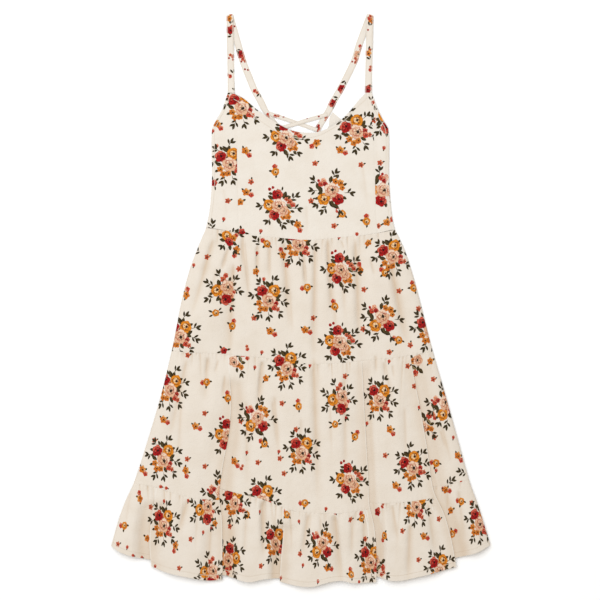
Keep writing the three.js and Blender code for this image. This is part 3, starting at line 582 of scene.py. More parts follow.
def row_distances(length):
    """Rows down a panel, close together near both seams."""
    step = cloth_settings().row_step / MM
    near = [0.0, 0.8, 1.8, 3.2, 5.2]
    inner = np.linspace(near[-1], length - near[-1], round((length - 2 * near[-1]) / step) + 1)
    return np.concatenate([near[:-1], inner, length - np.array(near[:-1][::-1])])


# Print: motifs are drawn by the material from their local place on each face

LAYERS = 4
MOTIF_REACH = 46.0
# How far the gathers draw the print in
SQUEEZE = {"upper_tier_front": 0.95, "lower_tier_front": 0.86, "hem_ruffle_front": 0.74}
SPREAD_X, SPREAD_Y = 82.0, 106.0
SPREAD_SWAY, SPREAD_TURN = 5, 14
SMALL_AWAY_X, SMALL_AWAY_Y = 37, 44
BACK_PRINT_TOP = 262.0  # only small motifs lie above it
KINDS = {  # the number that the material reads, and half width for half length
    "peach_rose": (1, 1.0), "red_rose": (2, 1.0), "ochre_flower": (3, 1.0), "blossom": (4, 1.0),
    "star": (5, 1.0), "bud": (6, 1.0), "leaf": (7, 0.55), "slim_leaf": (8, 0.4), "stem": (9, 0.1),
    "olive_leaf": (10, 0.54), "pale_blossom": (11, 1.0), "coral_rose": (12, 1.0),
}


def sprig(x, y, turn, reach, leaves=3):
    """Stem from (x, y) with a leaf at its tip and others to its sides by turns."""
    c, s = cos_sin(turn)
    found = [("slim_leaf", x + c * (reach + 3.4), y + s * (reach + 3.8), 6.1, turn + 6)]
    for k in range(leaves - 1):
        along = reach * (0.78 - 0.32 * k)
        size = 5.4 - 0.25 * k
        out = turn + (47 if k % 2 else -40)
        co, so = cos_sin(out)
        away = size + 0.5
        found.append(("slim_leaf", x + c * along + co * away, y + s * along + so * away, size, out))
    found.append(("stem", x + c * reach / 2, y + s * reach / 2, reach / 2 + 1.5, turn))
    return found


BOUQUETS = {  # parts from the top one down: kind, x, y, size, turn
    "north": [
        ("peach_rose", 1, 0, 13.3, 20), ("ochre_flower", -16, 2, 10.9, 200), ("red_rose", -1, 20, 10.7, 0),
        ("red_rose", -7, -16, 10.5, 130), ("peach_rose", 9, -9, 10.8, 120), ("blossom", 17, -12, 6.6, 0),
        ("blossom", 10, -20, 6.2, 40), ("blossom", 19, -20, 5.3, 10), ("star", 21, 8, 6.0, 0),
        ("coral_rose", 27, 2, 5.1, 30), ("bud", -15, 30, 3.2, 0), ("bud", -9, 33, 2.8, 0),
        ("star", 15, 12, 4.3, 50), ("leaf", 12, 19, 7.7, 68), ("leaf", 17, 15, 7.0, 14),
        ("olive_leaf", 20, -1, 6.8, -40), ("leaf", -13, 15, 6.4, 145), ("leaf", 1, -27, 6.8, -66),
        ("leaf", -18, -10, 6.1, 210), ("leaf", 18, -28, 4.7, -40), ("leaf", -24, 10, 4.7, 130),
        ("leaf", 26, -10, 4.5, -20), ("leaf", -13, 22, 4.5, 160), ("slim_leaf", 8, 31, 4.2, 80),
        *sprig(22, 9, 42, 14, 4), *sprig(-24, 1, 188, 8, 3), *sprig(-13, -22, 226, 7, 3),
        *sprig(5, -27, -58, 9, 4), *sprig(24, -4, -2, 13, 3), *sprig(16, -24, -20, 8, 2),
    ],
    "east": [
        ("peach_rose", 2, 5, 14.1, 75), ("red_rose", 14, -11, 11.3, 40),
        ("ochre_flower", -12, -11, 11.8, 10), ("peach_rose", 0, -5, 10.8, 200), ("blossom", 9, 21, 6.4, 0),
        ("blossom", 18, 18, 6.8, 30), ("blossom", 21, 9, 5.7, 60), ("red_rose", -9, 16, 5.0, 0),
        ("coral_rose", -17, 16, 5.5, 10), ("pale_blossom", -12, 22, 5.5, 0), ("bud", -21, 22, 2.8, 0),
        ("leaf", 2, -19, 7.9, -72), ("leaf", 9, -24, 7.4, -25), ("leaf", 1, 24, 6.8, 78),
        ("leaf", -18, 6, 7.6, 115), ("leaf", -17, 0, 6.6, 200), ("leaf", -23, 12, 6.6, 104),
        ("leaf", 25, -9, 5.1, -30), ("leaf", 26, 15, 4.5, 30), ("leaf", 13, 29, 4.5, 60),
        ("leaf", -24, -10, 4.8, 190), *sprig(5, 27, 66, 10, 4), *sprig(-23, 17, 142, 9, 3),
        *sprig(-6, -23, 234, 12, 4), *sprig(25, 0, 2, 12, 3), *sprig(-23, 4, 182, 9, 3),
        *sprig(-20, -18, 212, 6, 3), *sprig(13, -26, -54, 7, 2),
    ],
    "west": [
        ("peach_rose", 2, -5, 14.1, 10), ("red_rose", -11, 12, 11.3, 80),
        ("ochre_flower", 12, 12, 12.0, 60), ("peach_rose", 1, 6, 10.8, 160), ("blossom", -16, -10, 6.6, 0),
        ("blossom", -13, -20, 6.4, 45), ("blossom", -4, -20, 6.6, 20), ("coral_rose", 13, -18, 6.4, 0),
        ("red_rose", 16, -11, 5.0, 0), ("star", 19, -21, 5.0, 40), ("leaf", 0, 23, 7.7, 118),
        ("leaf", 6, 22, 7.0, 60), ("leaf", 17, -3, 7.4, -22), ("leaf", 20, 2, 6.4, 30),
        ("leaf", -17, -1, 6.4, 150), ("leaf", 6, -22, 6.2, -60), ("leaf", -22, 14, 5.0, 170),
        ("leaf", -20, 5, 5.1, 204), ("leaf", 22, 16, 4.8, 20), ("leaf", -23, -12, 4.5, 190),
        ("leaf", -7, 26, 4.7, 110), *sprig(6, 27, 44, 9, 3), *sprig(23, 9, 14, 11, 3),
        *sprig(23, -6, -18, 11, 4), *sprig(-22, 6, 192, 8, 3), *sprig(-10, -24, 238, 11, 4),
        *sprig(17, -23, -46, 9, 3), *sprig(2, -26, -84, 9, 3), *sprig(-11, 22, 134, 7, 3),
    ],
    "south": [
        ("peach_rose", 8, 7, 13.7, 40), ("ochre_flower", -11, 1, 11.8, 110),
        ("red_rose", 7, -16, 11.1, 200), ("peach_rose", 3, -6, 10.8, 0), ("pale_blossom", 16, -8, 7.0, 20),
        ("star", 0, 21, 6.3, 0), ("coral_rose", 5, 28, 5.3, 40), ("leaf", -8, 14, 7.4, 105),
        ("leaf", 0, 13, 6.4, 62), ("leaf", -7, -13, 7.4, 225), ("leaf", -2, -18, 6.6, 256),
        ("leaf", 19, -16, 6.2, 8), ("coral_rose", 22, -2, 4.0, 0), ("bud", 17, -31, 2.8, 0),
        ("leaf", -21, 6, 5.4, 165), ("leaf", 22, 12, 5.4, 30), ("leaf", 13, 21, 5.0, 70),
        ("leaf", -22, -5, 4.7, 200), *sprig(-18, 9, 156, 13, 4), *sprig(-17, -10, 208, 12, 4),
        *sprig(21, 3, -14, 13, 4), *sprig(-5, 24, 118, 8, 3), *sprig(19, 16, 50, 8, 3),
        *sprig(13, -24, -52, 7, 3),
    ],
    "pair": [
        ("blossom", -1, 2, 7.5, 0), ("coral_rose", 6, -6, 5.3, 30), ("leaf", 7, 2, 3.6, 20),
        ("leaf", -5, 8, 3.4, 112),
    ],
    "single": [
        ("ochre_flower", 0, 0, 7.1, 30), ("slim_leaf", -10, 3, 4.8, 160), ("slim_leaf", -9, -5, 4.4, 208),
        ("slim_leaf", 10, 1, 4.6, 6), ("slim_leaf", 8, 7, 4, 46), ("stem", 0, 1, 9, 4),
    ],
    "flower": [
        ("ochre_flower", 0, 0, 7.6, 10), ("coral_rose", -7, 6, 5.3, 0), ("leaf", -7, -5, 3.8, 222),
        ("leaf", 7, -5, 3.2, 305),
    ],
    "star": [("star", 0, 0, 5.8, 0), ("leaf", 6, 2, 2.8, 20)],
    "bloom": [("blossom", 0, 0, 7.0, 20), ("leaf", 7, 3, 3.8, 28), ("leaf", -5, -6, 3.4, 232)],
    "bud": [("coral_rose", 0, 0, 3.7, 0), ("leaf", -1, -4, 2.4, 250)],
    "twig": [
        ("red_rose", 0, 0, 6.7, 0), ("slim_leaf", 2, -9, 4.6, -75), ("slim_leaf", -3, 9, 4.6, 105),
        ("leaf", 6, 6, 3.8, 40),
    ],
    "spill": [
        ("peach_rose", -9, -8, 10.8, 10), ("coral_rose", 4, 12, 6.8, 40), ("star", 12, 14, 5.8, 0),
        ("coral_rose", 16, 8, 4.8, 0), ("blossom", 1, -10, 6.6, 30), ("blossom", 9, -12, 5.7, 10),
        ("olive_leaf", 3, 1, 7, -50), ("leaf", -8, 12, 7, 118), ("leaf", -4, 6, 5.4, 60),
        ("leaf", 10, -3, 5.4, 20), ("leaf", 2, -20, 5.2, -70), *sprig(12, 18, 52, 7, 3),
        *sprig(8, -16, -50, 8, 3),
    ],
    "waist": [
        ("red_rose", 0, -6, 8.6, 30), ("ochre_flower", -3, 5, 10, 0), ("blossom", 10, 1, 7, 0),
        ("coral_rose", 16, 6, 4.4, 0), ("leaf", -12, -3, 6.2, 170), ("leaf", 9, -9, 6.4, -30),
        ("leaf", 0, -16, 6, -80), ("leaf", -14, 6, 5.4, 150), *sprig(-9, -10, 222, 6, 3),
        *sprig(6, -16, -60, 6, 2), *sprig(15, 4, 20, 8, 3),
    ],
    "leaf_spray": sprig(0, -6, 90, 11, 5),
    "strap_rose": [("red_rose", 0, 0, 8, 0), ("coral_rose", 4, 6, 3.6, 0)],
    "strap_coral": [("coral_rose", 0, 0, 4, 30), ("star", 2.6, 4.6, 3.4, 0)],
    "strap_ochre": [("blossom", 0, 0, 6.4, 0), ("star", 3, 6, 3.2, 0)],
    "strap_peach": [("peach_rose", 0, 0, 8, 0), ("star", -3, 8, 3, 0)],
    "strap_leaf": [("slim_leaf", 0, 0, 4.6, 70), ("slim_leaf", 3.4, -3, 3.4, 20)],
    "strap_dot": [("bud", 0, 0, 2, 0)],
}
PRINT = {  # motifs of each piece: pixel of the photograph, motif, turn, and the bay where it isn't plain
    "bodice_front_centre": [
        (240.5, 105.5, "west", 8), (285, 137.5, "north", 0), (354.3, 130, "west", 30),
        (278, 206, "north", 0), (330.3, 193, "east", 0), (246, 152, "pair", 0), (275.4, 172, "flower", -45),
        (315.5, 143.5, "pair", -95), (315, 163.5, "star", 10), (341, 151, "pair", 20),
        (361, 165, "star", 0), (251, 182, "star", 60), (247, 193, "pair", 20), (240.3, 202, "bloom", 0),
        (311, 201, "star", 20), (342, 214, "flower", 0), (334, 226, "star", 0), (298, 226, "pair", -20),
        (261, 231, "bud", 0), (366.4, 221.5, "flower", -49), (357, 234, "bud", 0), (256, 238, "bud", 0),
        (242, 232, "twig", 60),
    ],
    "bodice_front_side_left": [
        (228, 162, "west", 12), (214, 183, "twig", 0), (228, 201, "star", 0), (217.5, 125, "pair", 0),
        (240.5, 105.5, "west", 8), (229.5, 99, "strap_coral", 60), (213, 131, "bud", 0),
        (242, 232, "twig", 60), (233, 233, "leaf_spray", -60), (226, 238, "flower", 0),
        (212, 226, "leaf_spray", 0), (224, 219, "bud", 0), (217, 146, "bud", 0),
    ],
    "bodice_front_side_right": [
        (380.5, 191, "east", -50), (388, 222, "pair", 80), (378, 226, "star", 0), (380, 163, "star", 0),
        (392, 121, "west", 100), (384, 148, "bud", 0), (386, 176, "bud", 0), (370, 98.5, "strap_leaf", 60),
        (373, 102.5, "bud", 0), (374.5, 108, "strap_leaf", 20), (374, 120.5, "star", 0),
        (385.5, 128, "strap_leaf", 0),
    ],
    "upper_tier_front": [
        (228.5, 238.5, "waist", 0), (298, 242, "west", 0), (340, 269.5, "north", 0),
        (390.5, 254.5, "west", 22), (223, 291, "south", 0), (268, 297.5, "west", 0),
        (381, 319.5, "east", 0), (338.5, 341.5, "north", 0), (179.5, 333.5, "west", 0),
        (428.5, 328.5, "west", 8), (187, 294, "pair", 130), (216, 313, "single", 0),
        (232.4, 326, "flower", -70), (254, 318, "star", 90), (271, 332, "pair", 15),
        (256, 271.5, "bloom", 60), (239, 269, "star", 40), (207, 257, "star", 0), (267, 244, "flower", 0),
        (257, 241, "leaf_spray", 40), (282.5, 254, "pair", 160), (264, 279, "bud", 0), (284, 236, "bud", 0),
        (339, 237, "bud", 0), (257, 253, "bud", 0), (287, 265, "star", 0), (307.3, 287.5, "flower", 48),
        (313, 318, "star", 0), (306, 330.5, "pair", 25), (334.7, 306.5, "flower", -35),
        (363.8, 289.5, "star", 0), (368, 243, "bloom", 30), (360, 269, "pair", 150),
        (385, 273, "flower", 0), (399, 291, "star", 0), (413.5, 288, "flower", -35),
        (418.3, 308.6, "star", 0), (398.5, 340, "flower", 20), (389, 352, "star", 0),
        (363, 329, "star", 60), (262, 352, "bud", 0), (247.5, 349, "strap_coral", 40),
        (224, 350.5, "twig", 90), (286, 366, "west", 12), (236, 251, "pair", -60),
        (197, 250, "leaf_spray", 60), (194, 265, "bud", 0), (410, 345, "star", 60),
    ],
    "lower_tier_front": [
        (239, 359, "spill", -20, 0), (239, 359, "spill", -20, 1), (286, 366, "west", 12, 1),
        (415, 366, "spill", 200, 3), (170, 387, "west", -5, 0), (338, 400, "south", 0, 1),
        (378.5, 397, "west", 0, 2), (445, 406, "east", 26, 3), (427, 422, "spill", 0, 3),
        (227.5, 435, "north", 0, 0), (256.5, 419.5, "east", 0, 1), (301, 449.5, "west", 0, 1),
        (163, 457, "west", 0, 0), (348.5, 479, "north", 0, 1), (411, 465.5, "west", 25, 2),
        (262, 497, "west", 0, 1), (222, 494, "east", 30, 0), (188, 355, "star", 0, 0),
        (207, 382, "flower", 45, 0), (228, 398, "flower", -45, 0), (205, 413, "star", 0, 0),
        (196.5, 426.5, "pair", 25, 0), (164.5, 420, "pair", 20, 0), (155, 440, "star", 0, 0),
        (187.5, 458.6, "star", 0, 0), (186, 471, "pair", -30, 0), (143, 470, "pair", 0, 0),
        (205, 466, "star", 0, 0), (235, 462, "pair", 0, 1), (241.5, 468, "strap_coral", 0, 1),
        (241, 421, "star", 0, 1), (247, 452, "bud", 0, 1), (264.5, 443.5, "flower", 5, 1),
        (258, 462, "star", 0, 1), (282, 403, "star", 0, 1), (298.5, 406, "flower", -45, 1),
        (296, 429, "star", 0, 1), (280, 458, "star", 0, 1), (279, 451, "bud", 0, 1),
        (284, 473, "star", 0, 1), (266, 378, "bloom", 0, 1), (305, 502.5, "flower", 40, 1),
        (345, 376, "star", 0, 1), (335, 424, "single", 0, 1), (354.8, 436.4, "flower", -84, 1),
        (390, 430, "pair", 0, 2), (385, 455, "star", 0, 2), (396, 486, "pair", 10, 2),
        (436, 463, "flower", 30, 3), (433, 379, "star", 0, 3), (430, 361, "bloom", 0, 3),
        (407.5, 366, "star", 0, 2), (434, 437, "star", 0, 3), (161, 486, "bud", 90, 0),
        (166.5, 487.5, "bud", 90, 0), (389, 361, "bud", 0, 2), (414, 386, "star", 0, 2),
        (419, 407, "bud", 0, 2), (458, 456.5, "pair", 0, 3), (462, 472, "leaf_spray", 80, 3),
        (453, 437, "bud", 0, 3), (367, 423, "bud", 0, 2), (436, 470, "bud", 0, 3), (461, 482, "bud", 0, 3),
        (310, 365, "bud", 0, 1), (255, 367, "bud", 0, 1), (452, 491, "bud", 0, 3),
        (450, 481, "leaf_spray", -50, 3), (326, 508, "bud", 0, 1), (190, 501, "bud", 0, 0),
    ],
    "shoulder_strap_left": [
        (229, 18, "strap_ochre", 0, 0), (229.8, 22.5, "strap_leaf", 40, 0), (230, 29.5, "strap_rose", 0, 0),
        (229, 37, "strap_leaf", 120, 0), (229.2, 58, "strap_dot", 0, 0), (233, 56, "strap_coral", 90, 0),
        (233, 60.5, "strap_dot", 100, 0), (231.4, 71.5, "strap_leaf", 60, 0),
        (230, 77, "strap_coral", 90, 0), (233.8, 89.5, "strap_leaf", 80, 0), (235, 26.5, "strap_dot", 0, 1),
        (237.6, 51.5, "strap_leaf", 0, 1), (240.7, 54, "strap_rose", 0, 1), (243, 59, "strap_coral", 0, 1),
        (241, 62, "strap_dot", 0, 1), (244.8, 69, "strap_dot", 0, 1), (248, 70, "strap_dot", 0, 1),
        (254.5, 91, "strap_coral", 0, 1), (258, 95.5, "strap_leaf", 90, 1),
        (267.4, 114.5, "strap_coral", 60, 1), (269, 120.5, "strap_dot", 0, 1),
        (274, 124.5, "strap_leaf", 60, 1), (278, 128, "strap_leaf", 40, 1),
    ],
    "shoulder_strap_right": [
        (369.4, 18.5, "strap_coral", 0, 0), (371.4, 21, "strap_ochre", 0, 0),
        (369.2, 23.8, "strap_leaf", 30, 0), (367.8, 30.5, "strap_dot", 0, 0),
        (368.6, 53, "strap_ochre", 0, 0), (368.8, 49, "strap_leaf", 10, 0),
        (368.5, 58.5, "strap_leaf", 80, 0), (370.6, 69, "strap_coral", 20, 0),
        (370.6, 86, "strap_leaf", 80, 0), (367.4, 89, "strap_rose", 0, 0), (360, 46.5, "strap_coral", 0, 1),
        (361.3, 50.5, "strap_leaf", 0, 1), (358, 54, "strap_peach", 0, 1),
        (357.5, 59.5, "strap_coral", 40, 1), (352.5, 61.5, "strap_dot", 0, 1),
        (343.5, 82, "strap_leaf", 50, 1), (341.5, 88, "strap_rose", 0, 1), (336, 96.5, "strap_leaf", 90, 1),
        (332.8, 103, "strap_rose", 90, 1), (333.8, 107, "strap_leaf", 0, 1),
        (326, 118, "strap_coral", 0, 1), (316, 128.5, "strap_rose", 0, 1),
    ],
    "back_lace_lower": [(275.5, 116, "strap_coral", 0), (283, 117, "strap_dot", 0)],
    "back_lace_upper": [(319, 116.5, "strap_dot", 0), (306.5, 118.5, "strap_dot", 40)],
    "hem_ruffle_front": [
        (446, 490, "pair", 40, 5), (442.5, 488, "bud", 0, 5), (163.5, 522, "west", 0, 1),
        (204.5, 510, "south", 0, 1), (234, 500, "west", 10, 2), (274.5, 540.5, "west", 0, 2),
        (321.5, 545, "east", 0, 3), (369.5, 558.5, "west", 0, 3), (415.5, 503, "west", -10, 4),
        (478.5, 520.5, "west", 0, 5), (438.5, 567.5, "west", 8, 4), (229.5, 557, "west", -48, 2),
        (209, 573, "south", -10, 1), (378.5, 565, "spill", -90, 4), (125, 525, "flower", 40, 0),
        (118.5, 543.5, "star", 0, 0), (140.5, 497, "pair", 150, 0), (163.5, 522, "west", 0, 0),
        (151, 506.5, "star", 0, 0), (147.4, 538, "bloom", 120, 0), (191, 538.4, "star", 0, 1),
        (203.5, 531.5, "bud", 0, 1), (164.5, 500.5, "bud", 0, 1), (188.6, 500, "bud", 0, 1),
        (133.5, 554.5, "bud", 90, 0), (142, 557, "bud", 90, 0), (155.5, 565.5, "bud", 0, 1),
        (175.5, 545.5, "pair", -60, 1), (179.5, 567.4, "star", 0, 1), (215, 523, "bloom", 60, 1),
        (230, 526, "star", 0, 2), (260, 511, "bud", 0, 2), (247, 514, "flower", 0, 2),
        (265, 514, "star", 0, 3), (287, 514, "flower", 0, 3), (299, 520.5, "bud", 30, 3),
        (300, 553, "star", 60, 3), (303, 564, "bud", 0, 3), (281, 577, "bud", 0, 3),
        (351, 573.5, "flower", -45, 3), (384, 535, "flower", 100, 4), (402, 530, "star", 0, 4),
        (424, 536, "pair", 30, 4), (418, 559, "star", 0, 4), (438.5, 518.5, "star", 0, 4),
        (461, 501, "flower", 30, 5), (450.5, 510, "bloom", 0, 5), (471, 502.5, "star", 0, 5),
        (350, 519, "star", 0, 3), (361.5, 517.5, "flower", -20, 3), (365, 538.5, "star", 0, 3),
        (328, 567.5, "pair", 40, 3), (318, 580, "bud", 0, 3), (261, 565, "star", 0, 2),
        (335, 512, "bud", 60, 3), (359, 581, "bud", 0, 3), (452, 533.5, "flower", -110, 5),
        (377.5, 511.5, "strap_rose", 0, 4), (382, 506, "strap_coral", 0, 4), (128, 546, "bud", 0, 0),
    ],
}


def motif_parts(rows):
    """The motifs of a piece: pixel place in millimetres, the bay if given, and its turned parts."""
    found = []
    for px, py, name, turn, *bay in rows:
        x0 = (px - PHOTO_ORIGIN[0]) * PHOTO_SCALE
        y0 = (PHOTO_ORIGIN[1] - py) * PHOTO_SCALE
        found.append((x0, y0, bay[0] if bay else None, turned_parts(name, turn)))
    return found


def turned_parts(name, turn):
    c, s = cos_sin(turn)
    return [
        (kind, c * x - s * y, s * x + c * y, size, turn + own)
        for kind, x, y, size, own in BOUQUETS[name]
    ]


def spread_motifs(left, right, low, high, seed):
    """Bouquets in half-dropped columns with small motifs between them, for the back's panels."""
    names = ("north", "west", "south", "east")
    small = ("pair", "star", "flower", "bloom", "single", "star", "twig")
    found = []
    for i in range(math.ceil((right - left) / SPREAD_X) + 1):
        for j in range(math.ceil((high - low) / SPREAD_Y) + 2):
            x = left + SPREAD_X * i + SPREAD_SWAY * float(uneven(3 * i + 7 * j, seed))
            y = low + SPREAD_Y * (j - 0.5 * (i % 2)) + SPREAD_SWAY * float(uneven(5 * i + 2 * j, seed + 1))
            turn = SPREAD_TURN * float(uneven(i - 4 * j, seed + 2))
            if y > BACK_PRINT_TOP:
                found.append((x, y - 20, None, turned_parts(small[(i + j) % 2], 5 * turn)))
                continue
            found.append((x, y, None, turned_parts(names[(i + 2 * j) % 4], turn)))
            for k in range(3):
                away = 90 * k + 40 * i + 55 * j
                c, s = cos_sin(away)
                parts = turned_parts(small[(i + 3 * j + 2 * k) % 7], away)
                found.append((x + SMALL_AWAY_X * c, y + SMALL_AWAY_Y * s, None, parts))
    return found


def print_layers(place, quads, quad_bays, anchored, squeeze):
    """Local place of up to LAYERS motif parts at the corners of each face: u, v and the kind."""
    corners = place.reshape(-1, 2)[quads]
    centre = corners.mean(axis=1)
    radius = np.linalg.norm(corners - centre[:, None], axis=2).max(axis=1)
    layers = np.zeros((LAYERS, len(quads), 4, 3), np.float32)
    used = np.zeros(len(quads), int)
    for anchor, bay, parts in anchored:
        box = np.nonzero((quad_bays == bay) & (np.abs(centre - anchor) < MOTIF_REACH).all(axis=1))[0]
        for kind, x, y, size, turn in parts:
            number, width = KINDS[kind]
            c, s = cos_sin(turn)
            along = np.array([[c, -s], [s, c]]) / size
            local = ((centre[box] - anchor) / (squeeze, 1) - (x, y)) @ along
            slack = radius[box] / size
            hit = (np.abs(local[:, 0]) < 1 + slack) & (np.abs(local[:, 1]) < width + slack)
            chosen = box[hit]
            chosen = chosen[used[chosen] < LAYERS]
            layers[used[chosen], chosen, :, :2] = ((corners[chosen] - anchor) / (squeeze, 1) - (x, y)) @ along
            layers[used[chosen], chosen, :, 2] = number
            used[chosen] += 1
    return layers


def anchor_motifs(points, place, bays, hidden, motifs, is_ribbon):
    """Each motif's place on the flat cloth of its bay."""
    anchored = []
    for x0, y0, bay, parts in motifs:
        distance = (points[..., 0] - x0) ** 2 + (points[..., 1] - y0) ** 2
        distance = distance + np.where(hidden, np.inf, 0)
        if bay is not None:
            distance = np.where(bays == bay, distance, np.inf)
        near = np.unravel_index(np.argmin(distance), distance.shape)
        offset = 0 if is_ribbon else np.array([x0, y0]) - points[near][:2]
        anchored.append((place[near] + offset, bays[near], parts))
    return anchored


# Shells

HOLLOW_REACHES = (4, 9)
NO_STITCH = 99
SHARP_ANGLE = 62


def grid_normals(points):
    across = np.gradient(points, axis=1)
    down = np.gradient(points, axis=0)
    normal = np.cross(across, -down)
    return normal / np.maximum(np.linalg.norm(normal, axis=2, keepdims=True), 1e-9)


def hollows(z):
    """How far each point lies below the cloth to its left and right, from 0 to 1."""
    found = np.zeros(z.shape)
    for reach in HOLLOW_REACHES:
        padded = np.pad(z, ((0, 0), (reach, reach)), mode="edge")
        sums = np.cumsum(np.pad(padded, ((0, 0), (1, 0))), axis=1)
        mean = (sums[:, 2 * reach + 1:] - sums[:, :-2 * reach - 1]) / (2 * reach + 1)
        found += 0.45 * np.clip((mean - z) / (0.42 * reach ** 0.5), 0, 1)
    return found


def make_shell(name, points, thickness, place=None, bays=0, hidden=False, wrong="lower", motifs=None,
               trim=None, shade=0):
    """Piece of one node: a closed cloth shell around a grid of middle points in millimetres, printed.

    place is each point's place on the flat cloth. hidden points anchor no motif. wrong names the faces
    that show the faded wrong side of the print: upper, lower or neither. trim is each point's place along
    the nearest row of stitches and its distance from it.
    """
    shape = points.shape[:2]
    is_ribbon = wrong == "neither"
    place = points[..., :2] if place is None else place
    bays, hidden = np.broadcast_to(bays, shape), np.broadcast_to(hidden, shape)
    half = np.broadcast_to(np.asarray(thickness, float) / 2, shape)[..., None]
    normal = grid_normals(points)
    upper = (points + normal * half).reshape(-1, 3)
    lower = (points - normal * half).reshape(-1, 3)
    count = len(upper)
    index = np.arange(count).reshape(shape)
    quads = np.stack([index[:-1, :-1], index[1:, :-1], index[1:, 1:], index[:-1, 1:]], axis=-1).reshape(-1, 4)
    rim = np.concatenate([index[:, 0], index[-1, 1:], index[-2::-1, -1], index[0, -2:0:-1]])
    ahead = np.roll(rim, -1)
    rim_quads = np.stack([ahead, rim, rim + count, ahead + count], axis=-1)
    faces = np.concatenate([quads, quads[:, ::-1] + count, rim_quads])
    mesh = bpy.data.meshes.new(name)
    mesh.from_pydata((np.concatenate([upper, lower]) + LAY_SHIFT) * MM, [], faces)
    mesh.polygons.foreach_set("use_smooth", np.ones(len(faces), bool))
    mesh.materials.append(cotton())

    motifs = motif_parts(PRINT.get(name, ())) if motifs is None else motifs
    anchored = anchor_motifs(points, place, bays, hidden, motifs, is_ribbon)
    layers = print_layers(place, quads, bays.ravel()[quads[:, 0]], anchored, SQUEEZE.get(name, 1))
    for number in range(LAYERS):
        corners = np.zeros((len(faces), 4, 3), np.float32)
        corners[:len(quads)] = layers[number]
        corners[len(quads):2 * len(quads)] = layers[number][:, ::-1]
        write_values(mesh, f"motif_{number}", "FLOAT_VECTOR", "CORNER", "vector", corners)
    place_and_shade = np.zeros((2 * count, 3), np.float32)
    place_and_shade[:, :2] = np.tile(place.reshape(-1, 2), (2, 1))
    # The third value is painted shade: in the cloth's hollows, plus the shade given for creases, gathers and
    # folds
    place_and_shade[:, 2] = np.tile(np.clip(0.3 * hollows(points[..., 2]) + shade, 0, 1).ravel(), 2)
    write_values(mesh, "cloth_place_and_shade", "FLOAT_VECTOR", "POINT", "vector", place_and_shade)
    stitches = np.full((2 * count, 3), NO_STITCH, np.float32)
    if trim is not None:
        stitches[:, :2] = np.tile(np.stack(np.broadcast_arrays(*trim), axis=-1).reshape(-1, 2), (2, 1))
    write_values(mesh, "trim_place", "FLOAT_VECTOR", "POINT", "vector", stitches)
    faded = np.zeros((len(faces), 4), np.float32)
    if wrong == "lower":
        faded[len(quads):2 * len(quads)] = 1
    elif wrong == "upper":
        faded[:len(quads)] = 1
    write_values(mesh, "wrong_side", "FLOAT", "CORNER", "value", faded)
    mesh.set_sharp_from_angle(angle=math.radians(SHARP_ANGLE))
    mesh.update()
    piece = bpy.data.objects.new("cloth_" + name, mesh)
    bpy.context.collection.objects.link(piece)
    finish_piece(piece, name)


def write_values(mesh, name, form, domain, field, values):
    mesh.attributes.new(name, form, domain).data.foreach_set(field, values.ravel())


def finish_piece(piece, node):
    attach(piece, "root")
    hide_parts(node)


# Material

COTTON_NAME = "flower_printed_cotton"
INK_EXPOSURE = 0.84
BANDS = 16  # kinds that one palette can hold
STITCH_RATE = 0.4  # stitches in a millimetre
WEAVE_PITCH = 0.9


def ink(*colour):
    """Linear colour of an ink from screen values from 0 to 255, under the stage's light."""
    linear = (((v / 255 + 0.055) / 1.055) ** 2.4 if v > 10 else v / 3294 for v in colour)
    return tuple(v * INK_EXPOSURE for v in linear) + (1.0,)


INKS = {  # petals, depth of the lobes or half width, is a leaf, pale middle; main, light, line and core
    0: (0, 0.0, 1, 0, (0, 0, 0), (0, 0, 0), (0, 0, 0), (0, 0, 0)),
    1: (5, 0.2, 0, 0, (226, 184, 150), (246, 222, 200), (178, 86, 62), (46, 30, 18)),
    2: (5, 0.16, 0, 0, (172, 14, 16), (222, 108, 84), (80, 4, 8), (40, 6, 8)),
    3: (5, 0.1, 0, 1, (226, 140, 30), (246, 214, 168), (128, 54, 12), (62, 24, 10)),
    4: (5, 0.28, 0, 0, (222, 126, 34), (240, 176, 98), (106, 34, 14), (58, 22, 12)),
    5: (5, 0.38, 0, 0, (208, 92, 56), (234, 150, 110), (104, 18, 16), (70, 12, 12)),
    6: (3, 0.1, 0, 0, (168, 24, 24), (212, 84, 62), (96, 10, 14), (130, 16, 18)),
    7: (0, 0.55, 1, 0, (50, 38, 14), (92, 78, 42), (30, 24, 12), (30, 24, 12)),
    8: (0, 0.4, 1, 0, (46, 35, 13), (78, 66, 36), (30, 24, 12), (30, 24, 12)),
    9: (0, 0.1, 1, 0, (66, 52, 30), (66, 52, 30), (66, 52, 30), (66, 52, 30)),
    10: (0, 0.54, 1, 0, (50, 40, 18), (190, 172, 126), (36, 30, 18), (36, 30, 18)),
    11: (5, 0.24, 0, 0, (234, 168, 132), (248, 218, 192), (188, 84, 60), (132, 34, 26)),
    12: (5, 0.18, 0, 0, (208, 74, 50), (238, 170, 136), (122, 14, 18), (84, 10, 14)),
}


